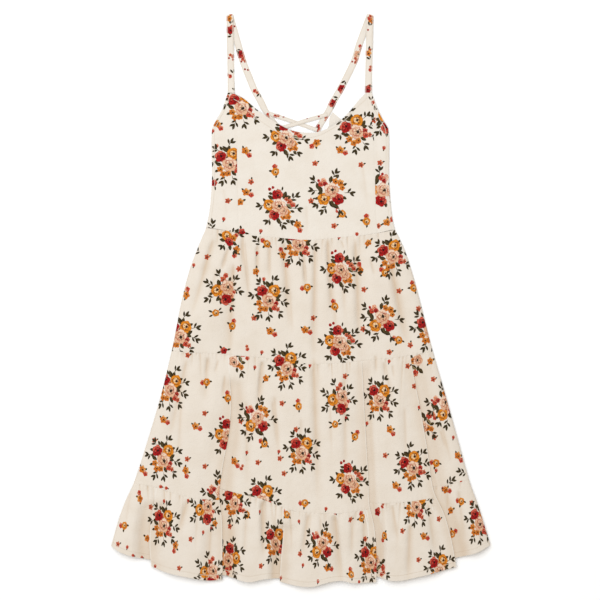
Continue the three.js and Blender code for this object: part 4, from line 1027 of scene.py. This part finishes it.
class Nodes:
    """Short way to add and join nodes in one tree."""

    def __init__(self, tree):
        self.tree = tree

    def add(self, kind, **settings):
        node = self.tree.nodes.new(kind)
        for name, value in settings.items():
            setattr(node, name, value)
        return node

    def set(self, socket, value):
        if hasattr(value, "is_output"):
            self.tree.links.new(value, socket)
        else:
            socket.default_value = value

    def math(self, operation, *values):
        node = self.add("ShaderNodeMath", operation=operation)
        for socket, value in zip(node.inputs, values):
            self.set(socket, value)
        return node.outputs[0]

    def times(self, a, b):
        return self.math("MULTIPLY", a, b)

    def minus(self, a, b):
        return self.math("SUBTRACT", a, b)

    def attribute(self, name, output="Vector"):
        return self.add("ShaderNodeAttribute", attribute_name=name).outputs[output]

    def axes(self, vector):
        node = self.add("ShaderNodeSeparateXYZ")
        self.set(node.inputs[0], vector)
        return node.outputs

    def vector(self, operation, *values, output=0):
        node = self.add("ShaderNodeVectorMath", operation=operation)
        sockets = [socket for socket in node.inputs if socket.enabled]
        for socket, value in zip(sockets, values):
            self.set(socket, value)
        return node.outputs[output]

    def ramp(self, value, low, high, to_low=0.0, to_high=1.0):
        node = self.add("ShaderNodeMapRange", interpolation_type="SMOOTHSTEP")
        for socket, given in zip(node.inputs, (value, low, high, to_low, to_high)):
            self.set(socket, given)
        return node.outputs[0]

    def mix(self, share, a, b):
        node = self.add("ShaderNodeMix", data_type="RGBA")
        self.set(node.inputs[0], share)
        self.set(node.inputs[6], a)
        self.set(node.inputs[7], b)
        return node.outputs[2]

    def noise(self, vector, scale, detail=2.0, roughness=0.5, output=0):
        node = self.add("ShaderNodeTexNoise")
        self.set(node.inputs["Vector"], vector)
        node.inputs["Scale"].default_value = scale
        node.inputs["Detail"].default_value = detail
        node.inputs["Roughness"].default_value = roughness
        return node.outputs[output]

    def palette(self, place, colours):
        """Constant colour ramp read by kind."""
        node = self.add("ShaderNodeValToRGB")
        band = node.color_ramp
        band.interpolation = "CONSTANT"
        for k, colour in enumerate(colours):
            stop = band.elements[k] if k < 2 else band.elements.new(0.99)
            stop.position = k / BANDS
            stop.color = colour
        self.set(node.inputs[0], place)
        return node.outputs


def motif_group():
    """Draws one motif part over the colour under it."""
    tree = bpy.data.node_groups.new("motif_part", "ShaderNodeTree")
    for name, form in (("Under", "Color"), ("Place", "Vector"), ("Wobble", "Vector")):
        tree.interface.new_socket(name, in_out="INPUT", socket_type="NodeSocket" + form)
    tree.interface.new_socket("Colour", in_out="OUTPUT", socket_type="NodeSocketColor")
    n = Nodes(tree)
    given, result = n.add("NodeGroupInput"), n.add("NodeGroupOutput")
    kind = n.axes(given.outputs["Place"])[2]
    stop = n.math("MULTIPLY_ADD", kind, 1 / BANDS, 0.5 / BANDS)
    rows = [INKS[k] for k in sorted(INKS)]
    shape = n.palette(stop, [(row[0] / BANDS, *row[1:4]) for row in rows])
    main, light, line, core = (n.palette(stop, [ink(*row[k]) for row in rows])[0] for k in range(4, 8))
    traits = n.add("ShaderNodeSeparateColor")
    n.set(traits.inputs[0], shape[0])
    petals, depth, leaf = traits.outputs[:3]
    ragged = n.math("MULTIPLY_ADD", leaf, -0.14, 0.32)
    moved = n.vector("MULTIPLY", given.outputs["Wobble"], (1, 1, 0))
    moved = n.vector("ADD", n.vector("SCALE", moved, ragged), given.outputs["Place"])
    patch = n.axes(given.outputs["Wobble"])[2]
    u, v = n.axes(moved)[:2]
    flat = n.vector("MULTIPLY", moved, (1, 1, 0))
    radius = n.vector("LENGTH", flat, output=1)
    angle = n.math("ARCTAN2", v, u)

    lobes = n.math("ABSOLUTE", n.math("COSINE", n.times(angle, n.times(petals, BANDS / 2))))
    outline = n.minus(1.0, n.times(depth, n.minus(1.0, lobes)))
    share = n.math("DIVIDE", radius, outline)
    flower_mask = n.ramp(share, 0.93, 1.0, 1.0, 0.0)
    sway = n.math("SINE", n.math("MULTIPLY_ADD", share, 4.0, n.times(angle, 3.0)))
    between = n.math("ABSOLUTE", n.math("SINE", n.times(angle, n.times(petals, BANDS / 2))))
    inner_edge = n.math("MULTIPLY_ADD", between, 0.16, 0.46)
    is_outer = n.ramp(n.minus(share, inner_edge), -0.02, 0.02)
    arc = n.ramp(n.math("ABSOLUTE", n.minus(share, inner_edge)), 0.04, 0.12, 1.0, 0.0)
    outer_gap = n.times(n.ramp(lobes, 0.12, 0.3, 1.0, 0.0), is_outer)
    inner_gap = n.times(n.ramp(between, 0.14, 0.38, 1.0, 0.0), n.minus(1.0, is_outer))
    rim = n.ramp(share, 0.84, 0.96)
    lines = n.math("MAXIMUM", n.math("MAXIMUM", arc, outer_gap), n.math("MAXIMUM", inner_gap, rim))
    lines = n.times(lines, n.ramp(sway, -1.1, 0.3, 0.35, 1.0))
    toward = n.vector("DOT_PRODUCT", flat, (0.74, 0.62, 0.0), output=1)
    inner = n.ramp(n.math("MULTIPLY_ADD", toward, -0.3, share), 0.34, 0.46, 1.0, 0.0)
    spread = n.math("MULTIPLY_ADD", shape[1], 0.15, 0.8)
    lit = n.math("MULTIPLY_ADD", patch, 1.3, n.math("MULTIPLY_ADD", sway, 0.24, toward))
    petals_light = n.mix(shape[1], n.ramp(lit, 0.24, 0.44), inner)
    colour = n.mix(n.times(petals_light, spread), main, light)
    colour = n.mix(n.ramp(patch, -0.06, -0.2, 0.0, 0.45), colour, line)
    colour = n.mix(n.times(lines, 0.82), colour, line)
    off = n.vector("LENGTH", n.vector("SUBTRACT", flat, (0.08, -0.1, 0.0)), output=1)
    ring = n.ramp(n.math("ABSOLUTE", n.minus(off, 0.34)), 0.04, 0.1, 1.0, 0.0)
    dots = n.times(ring, n.ramp(n.math("COSINE", n.times(angle, 5.0)), 0.3, 0.7))
    heart = n.math("MAXIMUM", n.ramp(off, 0.17, 0.25, 1.0, 0.0), n.times(dots, 0.6))
    colour = n.mix(heart, colour, core)

    width = n.times(depth, n.minus(1.0, n.times(u, u)))
    aside = n.math("ABSOLUTE", v)
    leaf_mask = n.ramp(n.minus(width, aside), 0.0, 0.03)
    vein = n.times(n.ramp(aside, 0.03, 0.09, 1.0, 0.0), n.ramp(depth, 0.3, 0.4))
    lit_half = n.ramp(n.math("MULTIPLY_ADD", patch, 0.6, v), -0.02, 0.1, 0.0, 0.4)
    leaf_colour = n.mix(n.math("MULTIPLY_ADD", vein, 0.6, lit_half), main, light)
    colour = n.mix(leaf, colour, leaf_colour)
    mask = n.math("MULTIPLY_ADD", leaf, n.minus(leaf_mask, flower_mask), flower_mask)
    n.set(result.inputs[0], n.mix(mask, given.outputs["Under"], colour))
    return tree


def cotton_material():
    material = bpy.data.materials.new(COTTON_NAME)
    material.use_nodes = True
    tree = material.node_tree
    n = Nodes(tree)
    shader = tree.nodes["Principled BSDF"]
    place = n.attribute("cloth_place_and_shade")
    wrong = n.attribute("wrong_side", "Fac")
    stitch_along, stitch_aside = n.axes(n.attribute("trim_place"))[:2]
    across, along, shade = n.axes(place)
    flat = n.vector("MULTIPLY", place, (1, 1, 0))

    ground = cloth_settings().ground
    darker = tuple(v * f for v, f in zip(ground, (0.965, 0.95, 0.93))) + (1,)
    shaded = tuple(v * f for v, f in zip(ground, (0.93, 0.85, 0.75))) + (1,)
    cloth = n.mix(n.ramp(n.noise(flat, 0.03, 3.0), 0.35, 0.7), (*ground, 1), darker)
    warp = n.noise(n.vector("MULTIPLY", flat, (1.6, 0.09, 0)), 1.0, 2.0)
    weft = n.noise(n.vector("MULTIPLY", flat, (0.09, 1.6, 0)), 1.0, 2.0)
    slub = n.times(warp, weft)
    cloth = n.mix(n.ramp(slub, 0.2, 0.36, 0.0, 0.5), cloth, darker)

    wobble = n.vector("SUBTRACT", n.noise(flat, 0.36, 1.5, output=1), (0.5, 0.5, 0.5))
    group = motif_group()
    colour = cloth
    for number in reversed(range(LAYERS)):
        part = n.add("ShaderNodeGroup", node_tree=group)
        n.set(part.inputs["Under"], colour)
        n.set(part.inputs["Place"], n.attribute(f"motif_{number}"))
        n.set(part.inputs["Wobble"], wobble)
        colour = part.outputs[0]
    colour = n.mix(n.ramp(slub, 0.2, 0.34, 0.0, 0.02), colour, cloth)
    colour = n.mix(n.times(wrong, 0.5), colour, cloth)

    # Stitches: a thread in a shallow groove, with painted shade in the groove
    aside = n.math("ABSOLUTE", stitch_aside)
    groove = n.ramp(aside, 0.35, 1.0, 1.0, 0.0)
    dash = n.math("ABSOLUTE", n.minus(n.math("FRACT", n.times(stitch_along, STITCH_RATE)), 0.5))
    thread = n.times(n.ramp(aside, 0.2, 0.34, 1.0, 0.0), n.ramp(dash, 0.32, 0.4, 1.0, 0.0))
    colour = n.mix(n.times(groove, 0.5), colour, shaded)
    colour = n.mix(n.times(thread, 0.8), colour, (*ground, 1))
    # Painted shade: cloth and print turn darker and warmer by the shade value
    painted_shade_colour = n.vector("MULTIPLY", colour, (0.8, 0.67, 0.54))
    colour = n.mix(shade, colour, painted_shade_colour)
    n.set(shader.inputs["Base Color"], colour)

    # Weave, slubs and small crumples
    over = n.math("SINE", n.times(across, math.tau / WEAVE_PITCH))
    under = n.math("SINE", n.times(along, math.tau / WEAVE_PITCH))
    height = n.times(n.times(over, under), 0.05)
    height = n.math("MULTIPLY_ADD", slub, 0.5, height)
    height = n.math("MULTIPLY_ADD", n.noise(flat, 0.06, 3.0, 0.55), 2.4, height)
    wrinkle = n.math("ABSOLUTE", n.minus(n.noise(flat, 0.045, 4.0, 0.6), 0.5))
    height = n.math("MULTIPLY_ADD", n.ramp(wrinkle, 0.0, 0.07, 1.0, 0.0), -0.45, height)
    height = n.math("MULTIPLY_ADD", groove, -0.5, height)
    height = n.math("MULTIPLY_ADD", thread, 0.7, height)
    bump = n.add("ShaderNodeBump")
    bump.inputs["Strength"].default_value = 0.6
    bump.inputs["Distance"].default_value = 0.0005
    n.set(bump.inputs["Height"], height)
    n.set(shader.inputs["Normal"], bump.outputs[0])
    n.set(shader.inputs["Roughness"], n.ramp(slub, 0.15, 0.4, 0.8, 0.92))
    shader.inputs["Specular IOR Level"].default_value = 0.1
    shader.inputs["Sheen Weight"].default_value = 0.03
    shader.inputs["Sheen Roughness"].default_value = 0.5
    return material


def cotton():
    return bpy.data.materials.get(COTTON_NAME) or cotton_material()


SKIRT_FRONT = {
    "upper_tier_front": dict(folds="", top=WAIST, bottom=TIER_SEAM, gather="waist", length=216, seed=1),
    "lower_tier_front": dict(
        folds="ABC", top=TIER_SEAM * 4, bottom=[LEFT_OF_A, BETWEEN_AB, BETWEEN_BC, RIGHT_OF_C],
        gather="tier", length=246, seed=5),
    "hem_ruffle_front": dict(
        folds="DAEBC", top=[LEFT_OF_A, LEFT_OF_A, BETWEEN_AB, BETWEEN_AB, BETWEEN_BC, RIGHT_OF_C],
        bottom=HEM, gather="ruffle", length=136, seed=9, is_hem=True),
}
COVER = 0.25  # the cloth's middle over the solid's middle


class SkirtFront(bpy.types.Operator):
    """Tiers and hem ruffle of the skirt's front"""

    bl_idname = "sundress.skirt_front"
    bl_label = "Skirt front"

    def execute(self, context):
        for name, facts in SKIRT_FRONT.items():
            rows = row_distances(facts["length"])
            x, y, z, arc, bays, folded, shade = Panel(**facts).build(rows)
            points = np.stack([x, y, z + COVER], axis=-1)
            place = np.stack([arc, y], axis=-1)
            rising = facts["length"] - rows[:, None]
            trim = (arc, rising - HEM_DEPTH) if facts.get("is_hem") else None
            make_shell(name, points, cloth_thickness(), place, bays, folded, trim=trim, shade=shade)
        return {"FINISHED"}


def bodice_grid(left, right, top, bottom, columns, rows):
    """Rows of x and y between two side curves and two lines."""
    u = np.linspace(0, 1, columns + 1)[None, :]
    part = np.linspace(0, 1, rows + 1)[:, None]
    top_x = lerp(left(APEX_Y), right(APEX_Y), u)
    bottom_x = lerp(left(WAIST_Y), right(WAIST_Y), u)
    y = lerp(top(top_x), bottom(bottom_x), part)
    return lerp(left(y), right(y), u), y


class BodiceFront(bpy.types.Operator):
    """Centre and side pieces of the bodice's front"""

    bl_idname = "sundress.bodice_front"
    bl_label = "Bodice front"

    def execute(self, context):
        gap = SEAM_GAP / 2
        seam_left, seam_right = Curve(PRINCESS_SEAMS, 1), Curve(PRINCESS_SEAMS, 2)
        arm_left, arm_right = Curve(ARMHOLES, 1), Curve(ARMHOLES, 2)
        neckline, waist = Curve(NECKLINE), Curve(WAIST[0])

        def level(x):
            return np.full(np.shape(x), APEX_Y)

        pieces = {
            "bodice_front_centre": (
                lambda y: seam_left(y) + gap, lambda y: seam_right(y) - gap, neckline, CENTRE_COLUMNS),
            "bodice_front_side_left": (arm_left, lambda y: seam_left(y) - gap, level, SIDE_COLUMNS),
            "bodice_front_side_right": (lambda y: seam_right(y) + gap, arm_right, level, SIDE_COLUMNS),
        }
        for name, (left, right, top, columns) in pieces.items():
            x, y = bodice_grid(left, right, top, lambda x: waist(x) + gap, columns, BODICE_ROWS)
            from_neckline = (neckline(x) - y) / np.hypot(1, (neckline(x + 1) - neckline(x - 1)) / 2)
            from_armhole = np.minimum(x - arm_left(y), arm_right(y) - x)
            from_side_seam = np.minimum(np.abs(x - seam_left(y)), np.abs(x - seam_right(y)))
            is_centre = name == "bodice_front_centre"
            inside = from_neckline - FACING_DEPTH if is_centre else from_armhole - ARMHOLE_DEPTH
            double = smooth(-inside, 0, 1.2) * smooth(y, 290, 305) if is_centre else smooth(-inside, 0, 1.2)
            # Fine creases, with painted shade in their bottoms
            relief, shade = crease_rise(x, y, FINE_CREASES)
            above = y - waist(x)
            relief = (relief + crumple(x, y) + seam_nips(x, above)) * side_roll(x, y)
            z = front_height(x, y) + relief + FACING_RISE * double
            z += seam_dip(from_side_seam, PRINCESS_DIP_WIDTH) + seam_dip(above)
            points = np.stack([x, y, z + COVER], axis=-1)
            trim = (x if is_centre else y, inside)
            make_shell(name, points, cloth_thickness(), trim=trim, shade=shade)
        return {"FINISHED"}


def across_back(y, u):
    """x at the share u of the back's width at a height."""
    return lerp(LEFT_SIDE(y) + BACK_INSET, RIGHT_SIDE(y) - BACK_INSET, u)


def back_line(name, x, shift):
    """Height of a back seam line at x, level at the sides and sagging in the middle."""
    side, middle = BACK_LINES[name]
    left, right = LEFT_SIDE(side + shift) + BACK_INSET, RIGHT_SIDE(side + shift) - BACK_INSET
    u = (x - left) / (right - left)
    return lerp(side, middle, 1 - np.abs(np.clip(2 * u - 1, -1, 1)) ** BACK_SAG_POWER) + shift


def back_height(x, y, creases):
    """Middle surface of the back: nearly flat on the floor, with low gathers under its seams."""
    ripple = 0.16 * np.sin(x * 0.61 + 1.7 * np.sin(x * 0.083)) + 0.08 * np.sin(x * 0.23 + y * 0.05)
    fade = np.zeros(np.shape(x))
    for name in creases:
        below = back_line(name, x, 0) - y
        fade = np.maximum(fade, np.exp(-np.abs(below) / 22.0))
    return BACK_MIDDLE + ripple * fade + 0.06 * np.sin(x * 0.031 + 1) * np.sin(y * 0.027)


class BackPanels(bpy.types.Operator):
    """Bodice back, tiers and hem ruffle of the side that lies on the floor"""

    bl_idname = "sundress.back_panels"
    bl_label = "Back panels"

    def execute(self, context):
        tiers = {"upper_tier_back": ("waist", "tier"), "lower_tier_back": ("tier", "ruffle"),
                 "hem_ruffle_back": ("ruffle", "hem")}
        gap = SEAM_GAP / 2
        for name, (upper, lower) in tiers.items():
            edge = 0 if lower == "hem" else gap
            high, low = BACK_LINES[upper][0] - gap, BACK_LINES[lower][0] + edge
            u = np.linspace(0, 1, round((RIGHT_SIDE(low) - LEFT_SIDE(low)) / BACK_COLUMN_STEP) + 1)[None, :]
            part = np.linspace(0, 1, round((high - low) / BACK_ROW_STEP) + 1)[:, None]
            top_x = across_back(high, u)
            low_x = across_back(low, u)
            y = lerp(back_line(upper, top_x, -gap), back_line(lower, low_x, edge), part)
            side_y = lerp(high, low, part)
            x = across_back(side_y, u)
            self.add_panel(name, x, y, (upper,))
        self.add_bodice(gap)
        return {"FINISHED"}

    def add_bodice(self, gap):
        outline = [(float(LEFT_SIDE(BACK_TOP_SIDE_Y)) + BACK_INSET, BACK_TOP_SIDE_Y), *BACK_TOP,
                   (float(RIGHT_SIDE(BACK_TOP_SIDE_Y)) - BACK_INSET, BACK_TOP_SIDE_Y)]
        at = [point[0] for point in outline]
        steps = np.concatenate([
            np.linspace(a, b, max(1, round((b - a) / BACK_COLUMN_STEP)), endpoint=False)
            for a, b in zip(at, at[1:])
        ])
        top_x = np.append(steps, at[-1])[None, :]
        top_y = np.interp(top_x, at, [point[1] for point in outline])
        u = (top_x - at[0]) / (at[-1] - at[0])
        low = BACK_LINES["waist"][0] + gap
        low_x = across_back(low, u)
        part = np.linspace(0, 1, BACK_BODICE_STATIONS)[:, None]
        y = lerp(top_y, back_line("waist", low_x, gap), part)
        side_y = lerp(BACK_TOP_SIDE_Y, low, part)
        beside = across_back(side_y, u)
        self.add_panel("bodice_back", lerp(top_x, beside, smooth(part, 0, 0.35)), y, ("waist",))

    def add_panel(self, name, x, y, creases):
        points = np.stack([x, y, back_height(x, y, creases)], axis=-1)
        motifs = spread_motifs(x.min(), x.max(), y.min(), y.max(), len(name))
        make_shell(name, points, cloth_thickness(), wrong="upper", motifs=motifs)


def ribbon(name, route, wall):
    """Pressed ribbon along a route of x, y, z, width and turn, thinner at its rounded edges."""
    route = np.array(route)
    across = np.cos(np.linspace(math.pi, 0, RIBBON_STATIONS))
    side = np.stack([np.cos(route[:, 4]), np.sin(route[:, 4]), np.zeros(len(route))], axis=-1)
    points = route[:, None, :3] + side[:, None, :] * (across[None, :, None] * route[:, None, 3:4] / 2)
    along = np.concatenate([[0], np.cumsum(np.linalg.norm(np.diff(route[:, :3], axis=0), axis=1))])
    place = np.stack(np.broadcast_arrays(across[None, :] * route[:, 3:4] / 2, along[:, None]), axis=-1)
    thickness = wall * (0.3 + 0.62 * np.sqrt(1 - np.abs(across) ** 3.2))
    bays = (np.arange(len(route)) > np.argmax(route[:, 1])).astype(int)[:, None]
    inside = (1 - np.abs(across[None, :])) * route[:, 3:4] / 2 - RIBBON_STITCH
    trim = (along[::-1, None], inside[::-1])
    make_shell(name, points[::-1], thickness[None, :], place[::-1], bays[::-1], wrong="neither", trim=trim)


def strap_route(foot, fold, back, end):
    """Strap from its foot over the shoulder fold and down the back."""
    turn = math.atan2(back[0][0] - fold[0], fold[1] - back[0][1]) / 2
    turn_y = fold[1] - STRAP_TURN_RADIUS - WALL / 2 - abs(math.sin(turn)) * STRAP_WIDTH / 2
    high = LAYER_Z + 2 * STRAP_TURN_RADIUS
    foot_z = float(front_height(foot[0], foot[1]))
    route = []
    for t in np.linspace(0, 1, STRAP_FRONT_STATIONS):
        y = lerp(foot[1], turn_y, t)
        z = lerp(foot_z, STRAP_SAG_Z, smooth(y, foot[1], foot[1] + STRAP_SETTLES_OVER))
        z = lerp(z, high, smooth(y, *STRAP_LIFTS))
        route.append((lerp(foot[0], fold[0], t), y, z, STRAP_WIDTH, turn * smooth(y, STRAP_LIFTS[1], turn_y)))
    for angle in np.linspace(0, math.pi, STRAP_TURN_STATIONS)[1:-1]:
        y = turn_y + STRAP_TURN_RADIUS * math.sin(angle)
        z = LAYER_Z + STRAP_TURN_RADIUS + STRAP_TURN_RADIUS * math.cos(angle)
        route.append((fold[0], y, z, STRAP_WIDTH, turn))
    nodes = np.array([(fold[0], turn_y), *back])
    length = np.concatenate([[0], np.cumsum(np.linalg.norm(np.diff(nodes, axis=0), axis=1))])
    line_x, line_y = Curve(list(zip(length, nodes[:, 0]))), Curve(list(zip(length, nodes[:, 1])))
    for t in np.linspace(0, 1, STRAP_BACK_STATIONS):
        here, ahead = t * length[-1], min(t * length[-1] + 1, length[-1])
        x, y = float(line_x(here)), float(line_y(here))
        before = max(ahead - 2, 0)
        heading = math.atan2(float(line_x(ahead) - line_x(before)), -float(line_y(ahead) - line_y(before)))
        width = lerp(end, STRAP_WIDTH, smooth(y, *STRAP_WIDENS))
        route.append((x, y, LAYER_Z, width, lerp(turn, heading, smooth(t, 0, 0.15))))
    return route


class Straps(bpy.types.Operator):
    """Shoulder straps and the two laces that cross in the back opening"""

    bl_idname = "sundress.straps"
    bl_label = "Straps and laces"

    def execute(self, context):
        for side, facts in STRAPS.items():
            name = "shoulder_strap_" + side
            ribbon(name, strap_route(**facts), WALL)
        for side, (start, end, middle) in LACES.items():
            turn = math.atan2(end[1] - start[1], end[0] - start[0]) + math.pi / 2
            route = []
            for t in np.linspace(0, 1, LACE_STATIONS):
                x = lerp(start[0], end[0], t)
                z = lerp(middle, LACE_END_Z, smooth(abs(x - LACE_CROSSING_X), *LACE_LEVELS))
                route.append((x, lerp(start[1], end[1], t), z, LACE_WIDTH, turn))
            name = "back_lace_" + side
            ribbon(name, route, LACE_WALL)
        return {"FINISHED"}


FLOOR_SIZE = 12
FLOOR_DROP = 0.0004  # floor under the cloth
WORLD_COLOUR, WORLD_STRENGTH = (1.0, 0.93, 0.84, 1), 0.74
SOFTBOX_SIZE, SOFTBOX_PLACE = (3.2, 2.6), (-0.9, 1.0, 3.15)
SOFTBOX_COLOUR, SOFTBOX_WATTS = (0.857, 0.922, 1.0), 91
SENSOR_WIDTH = 36


class Stage(bpy.types.Operator):
    """Floor, soft light and the camera over the dress"""

    bl_idname = "sundress.stage"
    bl_label = "Stage"

    def execute(self, context):
        stage = stage_settings()
        bpy.ops.object.select_all(action="DESELECT")
        bpy.ops.mesh.primitive_plane_add(size=FLOOR_SIZE, location=(0, 0, -FLOOR_DROP))
        floor = context.object
        floor.name = "floor"
        material = bpy.data.materials.new("pale_floor")
        material.use_nodes = True
        shader = material.node_tree.nodes["Principled BSDF"]
        shader.inputs["Base Color"].default_value = (*stage.floor, 1)
        shader.inputs["Roughness"].default_value = 0.9
        floor.data.materials.append(material)

        world = bpy.data.worlds.new("soft_studio")
        world.use_nodes = True
        background = world.node_tree.nodes["Background"]
        background.inputs["Color"].default_value = WORLD_COLOUR
        background.inputs["Strength"].default_value = WORLD_STRENGTH
        context.scene.world = world

        light = bpy.data.lights.new("softbox", "AREA")
        light.shape = "RECTANGLE"
        light.size, light.size_y = SOFTBOX_SIZE
        light.color = SOFTBOX_COLOUR
        light.energy = SOFTBOX_WATTS
        softbox = bpy.data.objects.new("softbox", light)
        softbox.location = SOFTBOX_PLACE
        aim = -softbox.location
        softbox.rotation_euler = aim.to_track_quat("-Z", "Y").to_euler()
        context.collection.objects.link(softbox)

        lens = bpy.data.cameras.new("photo_camera")
        lens.sensor_width = SENSOR_WIDTH
        lens.lens = SENSOR_WIDTH * stage.camera_height / (PHOTO_PIXELS * PHOTO_SCALE * MM)
        camera = bpy.data.objects.new("photo_camera", lens)
        right, down = (PHOTO_PIXELS / 2 - np.array(PHOTO_ORIGIN)) * PHOTO_SCALE
        camera.location = ((right + LAY_SHIFT[0]) * MM, (-down + LAY_SHIFT[1]) * MM, stage.camera_height)
        context.collection.objects.link(camera)
        context.scene.camera = camera
        context.scene.view_settings.view_transform = "Standard"
        return {"FINISHED"}


class SundressPanel(bpy.types.Panel):
    """Lists the dress's pieces"""

    bl_label = "Sundress"
    bl_idname = "VIEW3D_PT_sundress"
    bl_space_type = "VIEW_3D"
    bl_region_type = "UI"
    bl_category = "Sundress"

    def draw(self, context):
        for settings in (cloth_settings(), stage_settings()):
            for name in settings.bl_rna.properties.keys():
                if name not in ("rna_type", "name"):
                    self.layout.prop(settings, name)
        for operator in OPERATORS:
            self.layout.operator(operator.bl_idname)


OPERATORS = (BackPanels, BodiceFront, SkirtFront, Straps, Stage)
CLASSES = (SundressCloth, SundressStage, *OPERATORS, SundressPanel)


def register():
    for cls in CLASSES:
        bpy.utils.register_class(cls)
    bpy.types.Scene.sundress_cloth = bpy.props.PointerProperty(type=SundressCloth)
    bpy.types.Scene.sundress_stage = bpy.props.PointerProperty(type=SundressStage)


def unregister():
    del bpy.types.Scene.sundress_stage
    del bpy.types.Scene.sundress_cloth
    for cls in reversed(CLASSES):
        bpy.utils.unregister_class(cls)


def main():
    register()
    for operator in OPERATORS:
        group, name = operator.bl_idname.split(".")
        getattr(getattr(bpy.ops, group), name)()
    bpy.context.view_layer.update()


if __name__ == "__main__":
    main()
